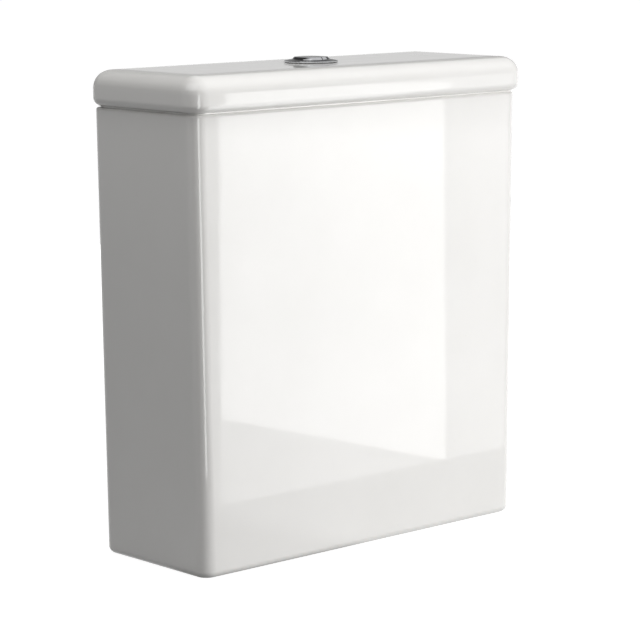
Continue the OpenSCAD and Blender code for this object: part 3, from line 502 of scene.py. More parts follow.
def round_rect(half_x: float, front: float, back: float, radius: float, z: float,
               steps: int = 14, hold: float = 4.0) -> list[Vector]:
    """Gives the points of a rectangle with round corners, anticlockwise from above.

    Args:
        half_x: Half its width.
        front: Its lowest Y.
        back: Its highest Y.
        radius: Radius of the corners.
        z: Height of all points.
        steps: Parts of each corner's arc.
        hold: Length of the short straight beside each corner, which keeps the sides flat.

    Returns:
        The points.
    """
    corners = [(half_x - radius, back - radius, 0), (radius - half_x, back - radius, 90),
               (radius - half_x, front + radius, 180), (half_x - radius, front + radius, 270)]
    points: list[Vector] = []
    for cx, cy, start in corners:
        first, last = math.radians(start), math.radians(start + 90)
        before = Vector((math.sin(first), -math.cos(first))) * hold
        after = Vector((-math.sin(last), math.cos(last))) * hold
        arc = [Vector((cx, cy)) + radius * Vector((math.cos(a), math.sin(a)))
               for a in (first + (last - first) * i / steps for i in range(steps + 1))]
        for flat in (arc[0] + before, *arc, arc[-1] + after):
            points.append(Vector((flat.x, flat.y, z)))
    return points


def circle(x: float, y: float, radius: float, z: float, steps: int = 64) -> list[Vector]:
    """Gives the points of a circle, anticlockwise from above."""
    turn = math.tau / steps
    return [Vector((x + radius * math.cos(turn * i), y + radius * math.sin(turn * i), z))
            for i in range(steps)]


def hexagon(flats: float) -> Section:
    """Gives a hexagon's corners by its width across the flats."""
    reach = flats / math.sqrt(3.0)
    return [(reach * math.cos(math.radians(60 * i)), reach * math.sin(math.radians(60 * i)))
            for i in range(6)]


def hoop(outer: float, inner: float, low: float, high: float) -> Section:
    """Gives the section of a flat ring."""
    return [(inner, low), (outer, low), (outer, high), (inner, high)]


def disc(radius: float, low: float, high: float) -> Section:
    """Gives the section of a solid disc."""
    return [(0.0, low), (radius, low), (radius, high), (0.0, high)]


def float_shell(inner: float, outer: float, wall: float, low: float, high: float) -> Section:
    """Gives the section of a float: a double wall, closed at its top.

    Args:
        inner: Radius of its bore.
        outer: Radius of its outside.
        wall: Thickness of its walls.
        low: Height of its foot.
        high: Height of its top.

    Returns:
        The section.
    """
    under = high - wall
    return [(inner, low), (inner + wall, low), (inner + wall, under), (outer - wall, under),
            (outer - wall, low), (outer, low), (outer, high), (inner, high)]


def eased(section: Section, radius: float | Sequence[float], steps: int = 4) -> Section:
    """Rounds the corners of a closed section, apart from those on the axis.

    Args:
        section: Corners as (radius from the axis, height), in order.
        radius: Largest rounding, the same everywhere or one for each corner.
        steps: Parts of each arc.

    Returns:
        The rounded section.
    """
    made: Section = []
    count = len(section)
    for i in range(count):
        here = Vector(section[i])
        if here.x < ON_AXIS:
            made.append((0.0, here.y))
            continue
        to_last = Vector(section[i - 1]) - here
        to_next = Vector(section[(i + 1) % count]) - here
        wish = radius if isinstance(radius, (int, float)) else radius[i]
        reach = min(wish, ROUND_SHARE * to_last.length, ROUND_SHARE * to_next.length)
        a = here + to_last.normalized() * reach
        b = here + to_next.normalized() * reach
        for k in range(steps + 1):
            t = k / steps
            p = a.lerp(here, t).lerp(here.lerp(b, t), t)
            made.append((p.x, p.y))
    return made


class Mould:
    """Builds one mesh in millimetres out of loops of points, then casts it as an object."""

    def __init__(self) -> None:
        """Starts with nothing in it."""
        self.bm = bmesh.new()

    def loop(self, points: Iterable[Vector]) -> Loop:
        """Adds a closed loop of points."""
        return [self.bm.verts.new(p) for p in points]

    def skin(self, lower: Loop, upper: Loop) -> None:
        """Joins two loops of equal length with quads.

        Args:
            lower: One loop.
            upper: The other.
        """
        count = len(lower)
        for i in range(count):
            j = (i + 1) % count
            self.bm.faces.new((lower[i], lower[j], upper[j], upper[i]))

    def stack(self, rings: Iterable[list[Vector]]) -> tuple[Loop, Loop]:
        """Skins a row of loops one after another.

        Args:
            rings: The loops' points, all of equal length.

        Returns:
            The first and the last loop.
        """
        loops = [self.loop(points) for points in rings]
        for lower, upper in zip(loops, loops[1:]):
            self.skin(lower, upper)
        return loops[0], loops[-1]

    def bore(self, x: float, radius: float, low: float, high: float) -> list[Loop]:
        """Adds the wall of a round hole.

        Args:
            x: Place of the hole along X.
            radius: Its radius.
            low: Height of its foot.
            high: Height of its top.

        Returns:
            Its lower and its upper loop.
        """
        loops = [self.loop(circle(x, 0.0, radius, z)) for z in (low, high)]
        self.skin(*loops)
        return loops

    def plate(self, outer: Loop, holes: Iterable[Loop] = ()) -> None:
        """Closes a flat loop, leaving holes.

        Args:
            outer: The loop.
            holes: Loops inside it that stay open.
        """
        edges: list[bmesh.types.BMEdge] = []
        for loop in (outer, *holes):
            for i, vert in enumerate(loop):
                pair = (vert, loop[(i + 1) % len(loop)])
                edges.append(self.bm.edges.get(pair) or self.bm.edges.new(pair))
        bmesh.ops.triangle_fill(self.bm, use_beauty=True, use_dissolve=False, edges=edges)

    def lathe(self, section: Section, x: float = 0.0, y: float = 0.0, steps: int = 96) -> "Mould":
        """Turns a closed section about an upright axis.

        Args:
            section: Corners as (radius, height); a radius of 0 lies on the axis.
            x: Place of the axis.
            y: Place of the axis.
            steps: Parts of the turn.

        Returns:
            This mould.
        """
        loops: list[Loop] = []
        for radius, height in section:
            if radius < ON_AXIS:
                loops.append([self.bm.verts.new((x, y, height))])
            else:
                loops.append(self.loop(circle(x, y, radius, height, steps)))
        for lower, upper in zip(loops, loops[1:] + loops[:1]):
            if len(lower) == len(upper) == 1:
                continue
            if len(lower) == 1:
                for i in range(steps):
                    self.bm.faces.new((lower[0], upper[(i + 1) % steps], upper[i]))
            elif len(upper) == 1:
                for i in range(steps):
                    self.bm.faces.new((lower[i], lower[(i + 1) % steps], upper[0]))
            else:
                self.skin(lower, upper)
        return self

    def prism(self, outline: Section, low: float, high: float,
              bores: Sequence[tuple[float, float]] = (), x: float = 0.0, steps: int = 48) -> "Mould":
        """Adds an upright prism with round bores through it.

        Args:
            outline: The outline about the prism's axis, anticlockwise.
            low: Height of its foot.
            high: Height of its top.
            bores: Each bore as (place along X from the prism's axis, radius).
            x: Place of the prism's axis along X.
            steps: Parts of each bore's circle.

        Returns:
            This mould.
        """
        ends = []
        for z in (low, high):
            loops = [self.loop(Vector((x + cx, cy, z)) for cx, cy in outline)]
            loops += [self.loop(circle(x + off, 0.0, radius, z, steps)) for off, radius in bores]
            self.plate(loops[0], loops[1:])
            ends.append(loops)
        for lower, upper in zip(*ends):
            self.skin(lower, upper)
        return self

    def trim(self, place: Point, normal: Point) -> "Mould":
        """Cuts everything beyond a plane away and closes the cut.

        Args:
            place: A point of the plane.
            normal: The side that is cut away.

        Returns:
            This mould.
        """
        geometry = [*self.bm.verts, *self.bm.edges, *self.bm.faces]
        cut = bmesh.ops.bisect_plane(self.bm, geom=geometry, dist=WELD, plane_co=place, plane_no=normal,
                                     clear_outer=True)
        edges = [e for e in cut["geom_cut"] if isinstance(e, bmesh.types.BMEdge)]
        bmesh.ops.holes_fill(self.bm, edges=edges, sides=0)
        return self

    def soften(self, width: float, angle: float = 40.0) -> "Mould":
        """Rounds every edge that is sharper than an angle, in three steps.

        Args:
            width: Width of the rounding.
            angle: The angle in degrees.

        Returns:
            This mould.
        """
        limit = math.radians(angle)
        bmesh.ops.remove_doubles(self.bm, verts=self.bm.verts, dist=WELD)
        bmesh.ops.recalc_face_normals(self.bm, faces=self.bm.faces)
        edges = [e for e in self.bm.edges if len(e.link_faces) == 2 and e.calc_face_angle(0.0) > limit]
        bmesh.ops.bevel(self.bm, geom=edges, offset=width, offset_type="OFFSET", segments=3,
                        profile=0.5, affect="EDGES", clamp_overlap=True)
        return self

    def cast(self, name: str, look: Look, sharp: float = HARD_EDGE) -> bpy.types.Object:
        """Turns the mould into an object in metres, with outward normals and even shading.

        Args:
            name: Name of the piece.
            look: Its finish.
            sharp: Edges above this angle, in degrees, stay hard.

        Returns:
            The object, at the origin.
        """
        bmesh.ops.remove_doubles(self.bm, verts=self.bm.verts, dist=WELD)
        bmesh.ops.recalc_face_normals(self.bm, faces=self.bm.faces)
        limit = math.radians(sharp)
        for face in self.bm.faces:
            face.smooth = True
        for edge in self.bm.edges:
            edge.smooth = edge.calc_face_angle(0.0) < limit
        bmesh.ops.scale(self.bm, vec=(MM,) * 3, verts=self.bm.verts)
        mesh = bpy.data.meshes.new(name)
        self.bm.to_mesh(mesh)
        self.bm.free()
        mesh.materials.append(look.value.material())
        made = bpy.data.objects.new(name, mesh)
        bpy.context.scene.collection.objects.link(made)
        return evened(made)


def settle(piece: bpy.types.Object) -> bpy.types.Object:
    """Applies a piece's modifiers, so that only a plain mesh is left.

    Args:
        piece: The piece.

    Returns:
        The same piece.
    """
    bpy.context.view_layer.update()
    graph = bpy.context.evaluated_depsgraph_get()
    mesh = bpy.data.meshes.new_from_object(piece.evaluated_get(graph), preserve_all_data_layers=True,
                                           depsgraph=graph)
    piece.modifiers.clear()
    old, piece.data = piece.data, mesh
    bpy.data.meshes.remove(old)
    mesh.name = piece.name
    return piece


def evened(piece: bpy.types.Object) -> bpy.types.Object:
    """Lets large faces rule the shading, so that flats stay flat beside rounded edges.

    Args:
        piece: The piece.

    Returns:
        The same piece.
    """
    even = piece.modifiers.new("even", "WEIGHTED_NORMAL")
    even.keep_sharp = True
    return settle(piece)


def pierced(piece: bpy.types.Object, drills: Sequence[bpy.types.Object]) -> bpy.types.Object:
    """Cuts other closed pieces out of one and removes them.

    Args:
        piece: What is cut.
        drills: What is cut out.

    Returns:
        The piece, with a plain mesh.
    """
    for drill in drills:
        cutter = piece.modifiers.new("drill", "BOOLEAN")
        cutter.operation = "DIFFERENCE"
        cutter.solver = "EXACT"
        cutter.object = drill
    settle(piece)
    for drill in drills:
        bpy.data.objects.remove(drill)
    piece.data.set_sharp_from_angle(angle=math.radians(HARD_EDGE))
    return evened(piece)


def merged(name: str, *pieces: bpy.types.Object) -> bpy.types.Object:
    """Joins pieces of one finish into one object.

    Args:
        name: Name of the result.
        pieces: The pieces, which are used up.

    Returns:
        The joined object.
    """
    for other in bpy.context.selected_objects:
        other.select_set(False)
    for piece in pieces:
        piece.select_set(True)
    bpy.context.view_layer.objects.active = pieces[0]
    bpy.ops.object.join()
    made = bpy.context.view_layer.objects.active
    made.select_set(False)
    made.name = made.data.name = name
    return made


class NodeRule(Tree):
    """A Geometry Nodes tree with named inputs that ends in realised geometry."""

    def __init__(self, name: str, inputs: dict[str, str]) -> None:
        """Starts the tree with its output and its named inputs.

        Args:
            name: Name of the tree.
            inputs: Socket type of each input, by name.
        """
        super().__init__(bpy.data.node_groups.new(name, "GeometryNodeTree"))
        sockets = self.tree.interface
        sockets.new_socket("Geometry", in_out="OUTPUT", socket_type="NodeSocketGeometry")
        self.inputs = {label: sockets.new_socket(label, in_out="INPUT", socket_type=kind).identifier
                       for label, kind in {**inputs, "Material": "NodeSocketMaterial"}.items()}
        self.given = self.node("NodeGroupInput").outputs

    def close(self, geometry: bpy.types.NodeSocket) -> "NodeRule":
        """Ends the tree: smooth, realised and with its material.

        Args:
            geometry: What the tree has made.

        Returns:
            This rule.
        """
        smooth = self.node("GeometryNodeSetShadeSmooth", {}, {0: geometry})
        real = self.node("GeometryNodeRealizeInstances", {}, {0: smooth.outputs[0]})
        dressed = self.node("GeometryNodeSetMaterial", {}, {
            0: real.outputs[0], "Material": self.given["Material"]})
        self.node("NodeGroupOutput", {}, {0: dressed.outputs[0]})
        return self

    def grow(self, name: str, look: Look, place: Matrix, **values: float) -> bpy.types.Object:
        """Runs the tree once in millimetres and gives a plain mesh in metres.

        Args:
            name: Name of the new object.
            look: Its finish.
            place: Where the result goes, in millimetres.
            values: Values of the tree's inputs, by name.

        Returns:
            The new object, at the origin.
        """
        host = bpy.data.objects.new(name, bpy.data.meshes.new(name))
        bpy.context.scene.collection.objects.link(host)
        modifier = host.modifiers.new("rule", "NODES")
        modifier.node_group = self.tree
        for key, value in values.items():
            modifier[self.inputs[key]] = value
        modifier[self.inputs["Material"]] = look.value.material()
        settle(host)
        host.data.transform(Matrix.Scale(MM, 4) @ place)
        return host


def winding_rule() -> NodeRule:
    """Makes the tree for springs and threads: a wire wound up in a helix.

    Returns:
        The rule.
    """
    sizes = dict.fromkeys(("Turns", "Radius", "Height", "Wire"), "NodeSocketFloat")
    rule = NodeRule("winding", {**sizes, **dict.fromkeys(("Parts", "Sides"), "NodeSocketInt")})
    given = rule.given
    helix = rule.node("GeometryNodeCurveSpiral", {}, {
        "Resolution": given["Parts"], "Rotations": given["Turns"], "Start Radius": given["Radius"],
        "End Radius": given["Radius"], "Height": given["Height"], "Reverse": True})
    profile = rule.node("GeometryNodeCurvePrimitiveCircle", {"mode": "RADIUS"}, {
        "Resolution": given["Sides"], "Radius": given["Wire"]})
    tube = rule.node("GeometryNodeCurveToMesh", {}, {
        "Curve": helix.outputs[0], "Profile Curve": profile.outputs[0], "Fill Caps": True})
    return rule.close(tube.outputs[0])


def knurl_rule() -> NodeRule:
    """Makes the tree for grips: round ribs that stand in a ring.

    Returns:
        The rule.
    """
    sizes = dict.fromkeys(("Radius", "Rib", "Height"), "NodeSocketFloat")
    rule = NodeRule("knurl", {"Ribs": "NodeSocketInt", "Sides": "NodeSocketInt", **sizes})
    given = rule.given
    ring = rule.node("GeometryNodeMeshCircle", {}, {"Vertices": given["Ribs"], "Radius": given["Radius"]})
    rib = rule.node("GeometryNodeMeshCylinder", {"fill_type": "NGON"}, {
        "Vertices": given["Sides"], "Radius": given["Rib"], "Depth": given["Height"]})
    placed = rule.node("GeometryNodeInstanceOnPoints", {}, {
        "Points": ring.outputs[0], "Instance": rib.outputs[0]})
    return rule.close(placed.outputs[0])


@dataclass(frozen=True)
class Thread:
    """A screw thread, in millimetres: a ridge of round wire, wound on a core.

    The ridge has a radius, the groove is the depth of the core under the thread's outside, and the
    run-out is the length without a ridge at the foot and at the top.
    """

    pitch: float
    ridge: float
    groove: float
    run_out: tuple[float, float] = (1.0, 1.0)
    parts: int = 24
    sides: int = 6


class Bench:
    """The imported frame, with the tools that every sub-assembly is made with."""

    def __init__(self, frame: dict[str, Any]) -> None:
        """Keeps the nodes, finds each node's body and makes the two rules.

        Args:
            frame: What the frame's loader gave.
        """
        self.nodes: dict[str, bpy.types.Object] = frame["nodes"]
        bodies = frame["record"]["behaviour"]["bodies"]
        self.home = {node: body for body, members in bodies.items() for node in members}
        self.winding = winding_rule()
        self.knurl = knurl_rule()

    def box(self, node: str) -> tuple[Vector, Vector]:
        """Gives a node's lowest and highest corners in millimetres."""
        low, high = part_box(node)
        return low / MM, high / MM

    def fit(self, piece: bpy.types.Object, look: Look, *nodes: str) -> bpy.types.Object:
        """Puts a piece on its body in place of its CAD nodes.

        Args:
            piece: The finished piece.
            look: Its finish, which names the record's slot.
            nodes: CAD nodes that it stands for, all of one body.

        Returns:
            The piece.
        """
        body = self.home[nodes[0]]
        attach(piece, body)
        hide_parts(*nodes)
        LOG.info("%s rides on %s with finish %s", piece.name, body, look.value.name)
        return piece

    def poured(self, node: str, look: Look, mould: Mould) -> bpy.types.Object:
        """Casts a mould as a node's piece and fits it."""
        return self.fit(mould.cast(node + "_piece", look), look, node)

    def joined(self, node: str, look: Look, *pieces: bpy.types.Object) -> bpy.types.Object:
        """Joins pieces into a node's piece and fits it."""
        return self.fit(merged(node + "_piece", *pieces), look, node)

    def turned(self, node: str, look: Look, section: Section, ease: float | Sequence[float] = 0.5,
               places: Sequence[tuple[float, float]] = ((0.0, 0.0),)) -> bpy.types.Object:
        """Turns a node's piece on the lathe and fits it.

        Args:
            node: The CAD node that it stands for.
            look: Its finish.
            section: Its section in millimetres.
            ease: Rounding of the section's corners.
            places: X and Y of each copy's axis.

        Returns:
            The fitted piece.
        """
        mould = Mould()
        for x, y in places:
            mould.lathe(eased(section, ease), x, y)
        return self.poured(node, look, mould)

    def ring(self, node: str, look: Look, inner: float, ease: float | Sequence[float] = 0.5,
             outer: float | None = None, places: Sequence[tuple[float, float]] = ((0.0, 0.0),)) -> None:
        """Turns a flat ring as high as its node and fits it.

        Args:
            node: The CAD node that it stands for.
            look: Its finish.
            inner: Radius of its bore.
            ease: Rounding of its edges.
            outer: Radius of its outside, or the reach of the node along X.
            places: X and Y of each copy's axis.
        """
        low, high = self.box(node)
        self.turned(node, look, hoop(high.x if outer is None else outer, inner, low.z, high.z), ease, places)

    def softened(self, look: Look, *nodes: str, width: float, weld: float = 1e-3, flat: float = 0.5) -> None:
        """Remakes nodes with their edges rounded.

        Args:
            look: Their finish.
            nodes: The CAD nodes.
            width: Width of the rounding in millimetres.
            weld: Distance in millimetres within which the CAD's loose corners are one.
            flat: Angle in degrees under which faces lie in one plane.
        """
        for node in nodes:
            mould = Mould()
            mould.bm.from_mesh(self.nodes[node].data)
            bmesh.ops.scale(mould.bm, vec=(1 / MM,) * 3, verts=mould.bm.verts)
            bmesh.ops.remove_doubles(mould.bm, verts=mould.bm.verts, dist=weld)
            bmesh.ops.dissolve_limit(mould.bm, angle_limit=math.radians(flat), use_dissolve_boundaries=False,
                                     verts=mould.bm.verts, edges=mould.bm.edges)
            self.poured(node, look, mould.soften(width))

    def thread(self, look: Look, x: float, radius: float, low: float, high: float,
               kind: Thread) -> bpy.types.Object:
        """Winds a thread's ridge round a shank.

        Args:
            look: Its finish.
            x: Place of the shank along X.
            radius: Largest radius of the thread.
            low: Foot of the threaded part, with its run-out.
            high: Top of the threaded part, with its run-out.
            kind: The thread's measures.

        Returns:
            The ridge.
        """
        low, high = low + kind.run_out[0], high - kind.run_out[1]
        return self.winding.grow(
            "thread", look, Matrix.Translation((x, 0.0, low)), Turns=(high - low) / kind.pitch,
            Radius=radius - kind.ridge, Height=high - low, Wire=kind.ridge, Parts=kind.parts,
            Sides=kind.sides)

    def grip(self, look: Look, place: Matrix, ribs: int, radius: float, rib: float,
             height: float, sides: int = 12) -> bpy.types.Object:
        """Stands grip ribs in a ring.

        Args:
            look: Their finish.
            place: The middle of the ring.
            ribs: How many there are.
            radius: Radius of the ring.
            rib: Radius of a rib.
            height: Height of a rib.
            sides: Sides of a rib.

        Returns:
            The ribs.
        """
        return self.knurl.grow("grip", look, place, Ribs=ribs, Sides=sides, Radius=radius, Rib=rib,
                               Height=height)


@dataclass
class Tank:
    """The hollow china tank, lofted ring by ring with its foot, rim, floor and holes, in millimetres."""

    bench: Bench
    draft: float = 5.0
    wall: float = 10.0
    floor_low: float = 4.0
    floor_high: float = 16.0
    foot: float = 18.0
    corner: float = 13.0
    inner_corner: float = 12.0
    foot_round: float = 6.0
    inner_round: float = 8.0
    rim_round: float = 2.5
    lip_round: float = 0.6
    edge_round: float = 1.5
    hold: float = 4.0
    bands: int = 8
    holes: tuple[tuple[float, float], ...] = ((0.0, 32.5), (-75.0, 6.0), (75.0, 6.0), (135.0, 12.0))
    wall_holes: tuple[float, ...] = (-90.0, 90.0)
    wall_hole_r: float = 5.0
    wall_hole_drop: float = 52.0
    drill_len: float = 30.0
    drill_out: float = 10.0
    pad_x: float = 182.25
    pad_y: float = 35.0
    pad_r: float = 3.5
    pad_ease: float = 0.4
    low: Vector = field(init=False)
    high: Vector = field(init=False)

    def __post_init__(self) -> None:
        """Takes the outer size from the CAD node."""
        self.low, self.high = self.bench.box("tank")

    def outer(self, z: float, inset: float) -> list[Vector]:
        """Gives a ring of the outside.

        Args:
            z: The height.
            inset: How far it is pulled in.

        Returns:
            The ring's points.
        """
        start, end = self.foot_round, self.high.z - self.rim_round
        share = held((z - start) / (end - start))
        half = self.high.x - self.draft * (1.0 - share)
        return round_rect(half - inset, self.low.y + inset, self.high.y - inset,
                          self.corner - inset, z)

    def inner(self, z: float, inset: float) -> list[Vector]:
        """Gives a ring of the inside at a height, pulled in by an inset.

        Args:
            z: The height.
            inset: How far it is pulled in.

        Returns:
            The ring's points.
        """
        start, end = self.floor_high + self.inner_round, self.high.z
        share = held((z - start) / (end - start))
        foot = self.high.x - self.draft * (1.0 - self.floor_high / self.high.z) - self.wall
        half = foot + (self.high.x - self.wall - foot) * share
        return round_rect(half - inset, self.low.y + self.wall + inset,
                          self.high.y - self.wall - inset, self.inner_corner - inset, z)

    def recess(self, z: float, inset: float) -> list[Vector]:
        """Gives a ring of the recess under the base, pulled in by an inset."""
        edge = self.foot + inset
        return round_rect(self.high.x - self.draft - edge, self.low.y + edge, self.high.y - edge,
                          self.corner - inset, z)

    def rings(self) -> list[list[Vector]]:
        """Gives all rings from the recess under the base, up outside and down inside.

        Returns:
            The rings, in order.
        """
        edge, foot, rim, lip, fillet = (
            self.edge_round, self.foot_round, self.rim_round, self.lip_round, self.inner_round)
        top, climb, bands = self.high.z, self.high.z - rim, self.bands
        made = [self.recess(self.floor_low, 0.0)]
        made += [self.recess(edge * (1 - math.sin(a)), -edge * (1 - math.cos(a))) for a in QUARTER]
        made += [self.outer(foot * (1 - math.cos(a)), foot * (1 - math.sin(a))) for a in QUARTER]
        made += [self.outer(foot + self.hold, 0.0)]
        made += [self.outer(foot + (climb - foot) * i / bands, 0.0) for i in range(1, bands)]
        made += [self.outer(climb - self.hold, 0.0)]
        made += [self.outer(climb + rim * math.sin(a), rim * (1 - math.cos(a))) for a in QUARTER]
        made += [self.inner(top - lip * (1 - math.cos(a)), lip * (math.sin(a) - 1.0)) for a in QUARTER]
        made += [self.inner(top * i / bands, 0.0) for i in range(bands - 1, 0, -1)]
        made += [self.inner(self.floor_high + fillet * (1 - math.sin(a)), fillet * (1 - math.cos(a)))
                 for a in QUARTER]
        return made

    def drill(self, x: float) -> bpy.types.Object:
        """Makes the rod that cuts one hole through the back wall.

        Args:
            x: Place of the hole along X.

        Returns:
            The rod.
        """
        made = Mould().lathe(disc(self.wall_hole_r, 0.0, self.drill_len))
        place = Matrix.Translation((x, self.high.y + self.drill_out, self.high.z - self.wall_hole_drop))
        bmesh.ops.transform(made.bm, matrix=place @ Matrix.Rotation(math.radians(90), 4, "X"),
                            verts=made.bm.verts)
        return made.cast("drill", Look.CHINA)

    def build(self) -> None:
        """Builds the tank with the pads on its rim."""
        mould = Mould()
        under, floor = mould.stack(self.rings())
        feet, tops = zip(*(mould.bore(x, radius, self.floor_low, self.floor_high)
                           for x, radius in self.holes))
        mould.plate(under, feet)
        mould.plate(floor, tops)
        drills = [self.drill(x) for x in self.wall_holes]
        self.bench.fit(pierced(mould.cast("tank_china", Look.CHINA), drills), Look.CHINA, "tank")
        low, high = self.bench.box("lid_pads")
        places = [(x, y) for x in (self.pad_x, -self.pad_x) for y in (self.pad_y, -self.pad_y)]
        self.bench.turned("lid_pads", Look.RUBBER, disc(self.pad_r, low.z, high.z), self.pad_ease, places)


@dataclass
class Lid:
    """The china lid with its full round top edge, guide rib and hollow, in millimetres.

    A narrow lip stands under the edge and closes most of the gap that the pads leave over the rim.
    """

    bench: Bench
    corner: float = 18.0
    least_corner: float = 0.1
    top_round: float = 15.0
    ease_from: float = 30.0
    foot_round: float = 7.0
    top: float = 10.0
    rib_drop: float = 8.0
    rib_out: float = 18.0
    rib_thick: float = 6.0
    rib_corner: float = 13.0
    rib_round: float = 2.0
    rib_fillet: float = 4.0
    lip: float = 1.2
    lip_in: float = 6.2
    lip_lean: float = 0.5
    lip_wide: float = 0.2
    hole: float = 20.0
    hold: float = 2.0
    foot_parts: int = 10
    top_parts: int = 16
    low: Vector = field(init=False)
    high: Vector = field(init=False)

    def __post_init__(self) -> None:
        """Takes the outer size from the CAD node."""
        self.low, self.high = self.bench.box("lid")

    def outer(self, z: float, inset: float) -> list[Vector]:
        """Gives a ring of the outside at a height, pulled in by an inset."""
        return round_rect(self.high.x - inset, self.low.y + inset, self.high.y - inset,
                          max(self.corner - inset, self.least_corner), z)

    def rib(self, z: float, inset: float) -> list[Vector]:
        """Gives a ring of the guide rib, pulled in from its outside by an inset."""
        front = self.low.y + self.rib_out + inset
        return round_rect(self.high.x - self.rib_out - inset, front, -front, self.rib_corner, z)

    def shoulder(self) -> Section:
        """Gives the top edge as (inset, drop), up from the side: an arc that eases into the flat top.

        Returns:
            The points of the edge.
        """
        ease, parts = math.radians(self.ease_from), self.top_parts
        turn = (math.pi / 2 - ease) / parts
        walk = [(math.pi / 2 - turn * (i + 0.5), self.top_round * turn) for i in range(parts)]
        walk += [(ease * (1 - (i + 0.5) / parts) ** 2, 2 * self.top_round * ease / parts)
                 for i in range(parts)]
        made: Section = [(0.0, 0.0)]
        for tilt, length in walk:
            made.append((made[-1][0] + length * math.cos(tilt), made[-1][1] + length * math.sin(tilt)))
        return [(inset, made[-1][1] - rise) for inset, rise in made]

    def rings(self) -> list[list[Vector]]:
        """Gives all rings from the ceiling, round the rib and up outside to the crown.

        Returns:
            The rings, in order.
        """
        bottom, seat, ceiling = self.low.z, self.low.z + self.rib_drop, self.high.z - self.top
        soft, fillet, thick, foot = self.rib_round, self.rib_fillet, self.rib_thick, self.foot_round
        made = [self.rib(ceiling - fillet * (1 - math.sin(a)), thick + fillet * (1 - math.cos(a)))
                for a in reversed(QUARTER)]
        made += [self.rib(bottom + soft * (1 - math.sin(a)), thick - soft * (1 - math.cos(a)))
                 for a in QUARTER]
        made += [self.rib(bottom + soft * (1 - math.cos(a)), soft * (1 - math.sin(a))) for a in QUARTER]
        heel = self.lip_in + self.lip_lean
        made += [self.rib(seat, 0.0), self.outer(seat, heel + self.lip_wide)]
        made += [self.outer(seat - self.lip, heel + self.lip_wide), self.outer(seat - self.lip, heel)]
        start, parts = math.asin(1.0 - self.lip_in / foot), self.foot_parts
        made += [self.outer(seat + foot * (1 - math.cos(a)), foot * (1 - math.sin(a)))
                 for a in (start + (math.pi / 2 - start) * i / parts for i in range(parts + 1))]
        made += [self.outer(seat + foot + self.hold, 0.0)]
        made += [self.outer(self.high.z - drop, inset) for inset, drop in self.shoulder()]
        return made

    def build(self) -> None:
        """Builds the lid with the button's hole through it."""
        mould = Mould()
        under, crown = mould.stack(self.rings())
        foot, top = mould.bore(0.0, self.hole, self.high.z - self.top, self.high.z)
        mould.plate(under, [foot])
        mould.plate(crown, [top])
        self.bench.fit(mould.cast("lid_china", Look.CHINA), Look.CHINA, "lid")


class Flush(Enum):
    """The two flushes, by the side of the cut that their pieces lie on."""

    FULL = 1.0
    HALF = -1.0

    def node(self, kind: str) -> str:
        """Names this flush's node of a kind."""
        return f"{self.name.lower()}_{kind}"


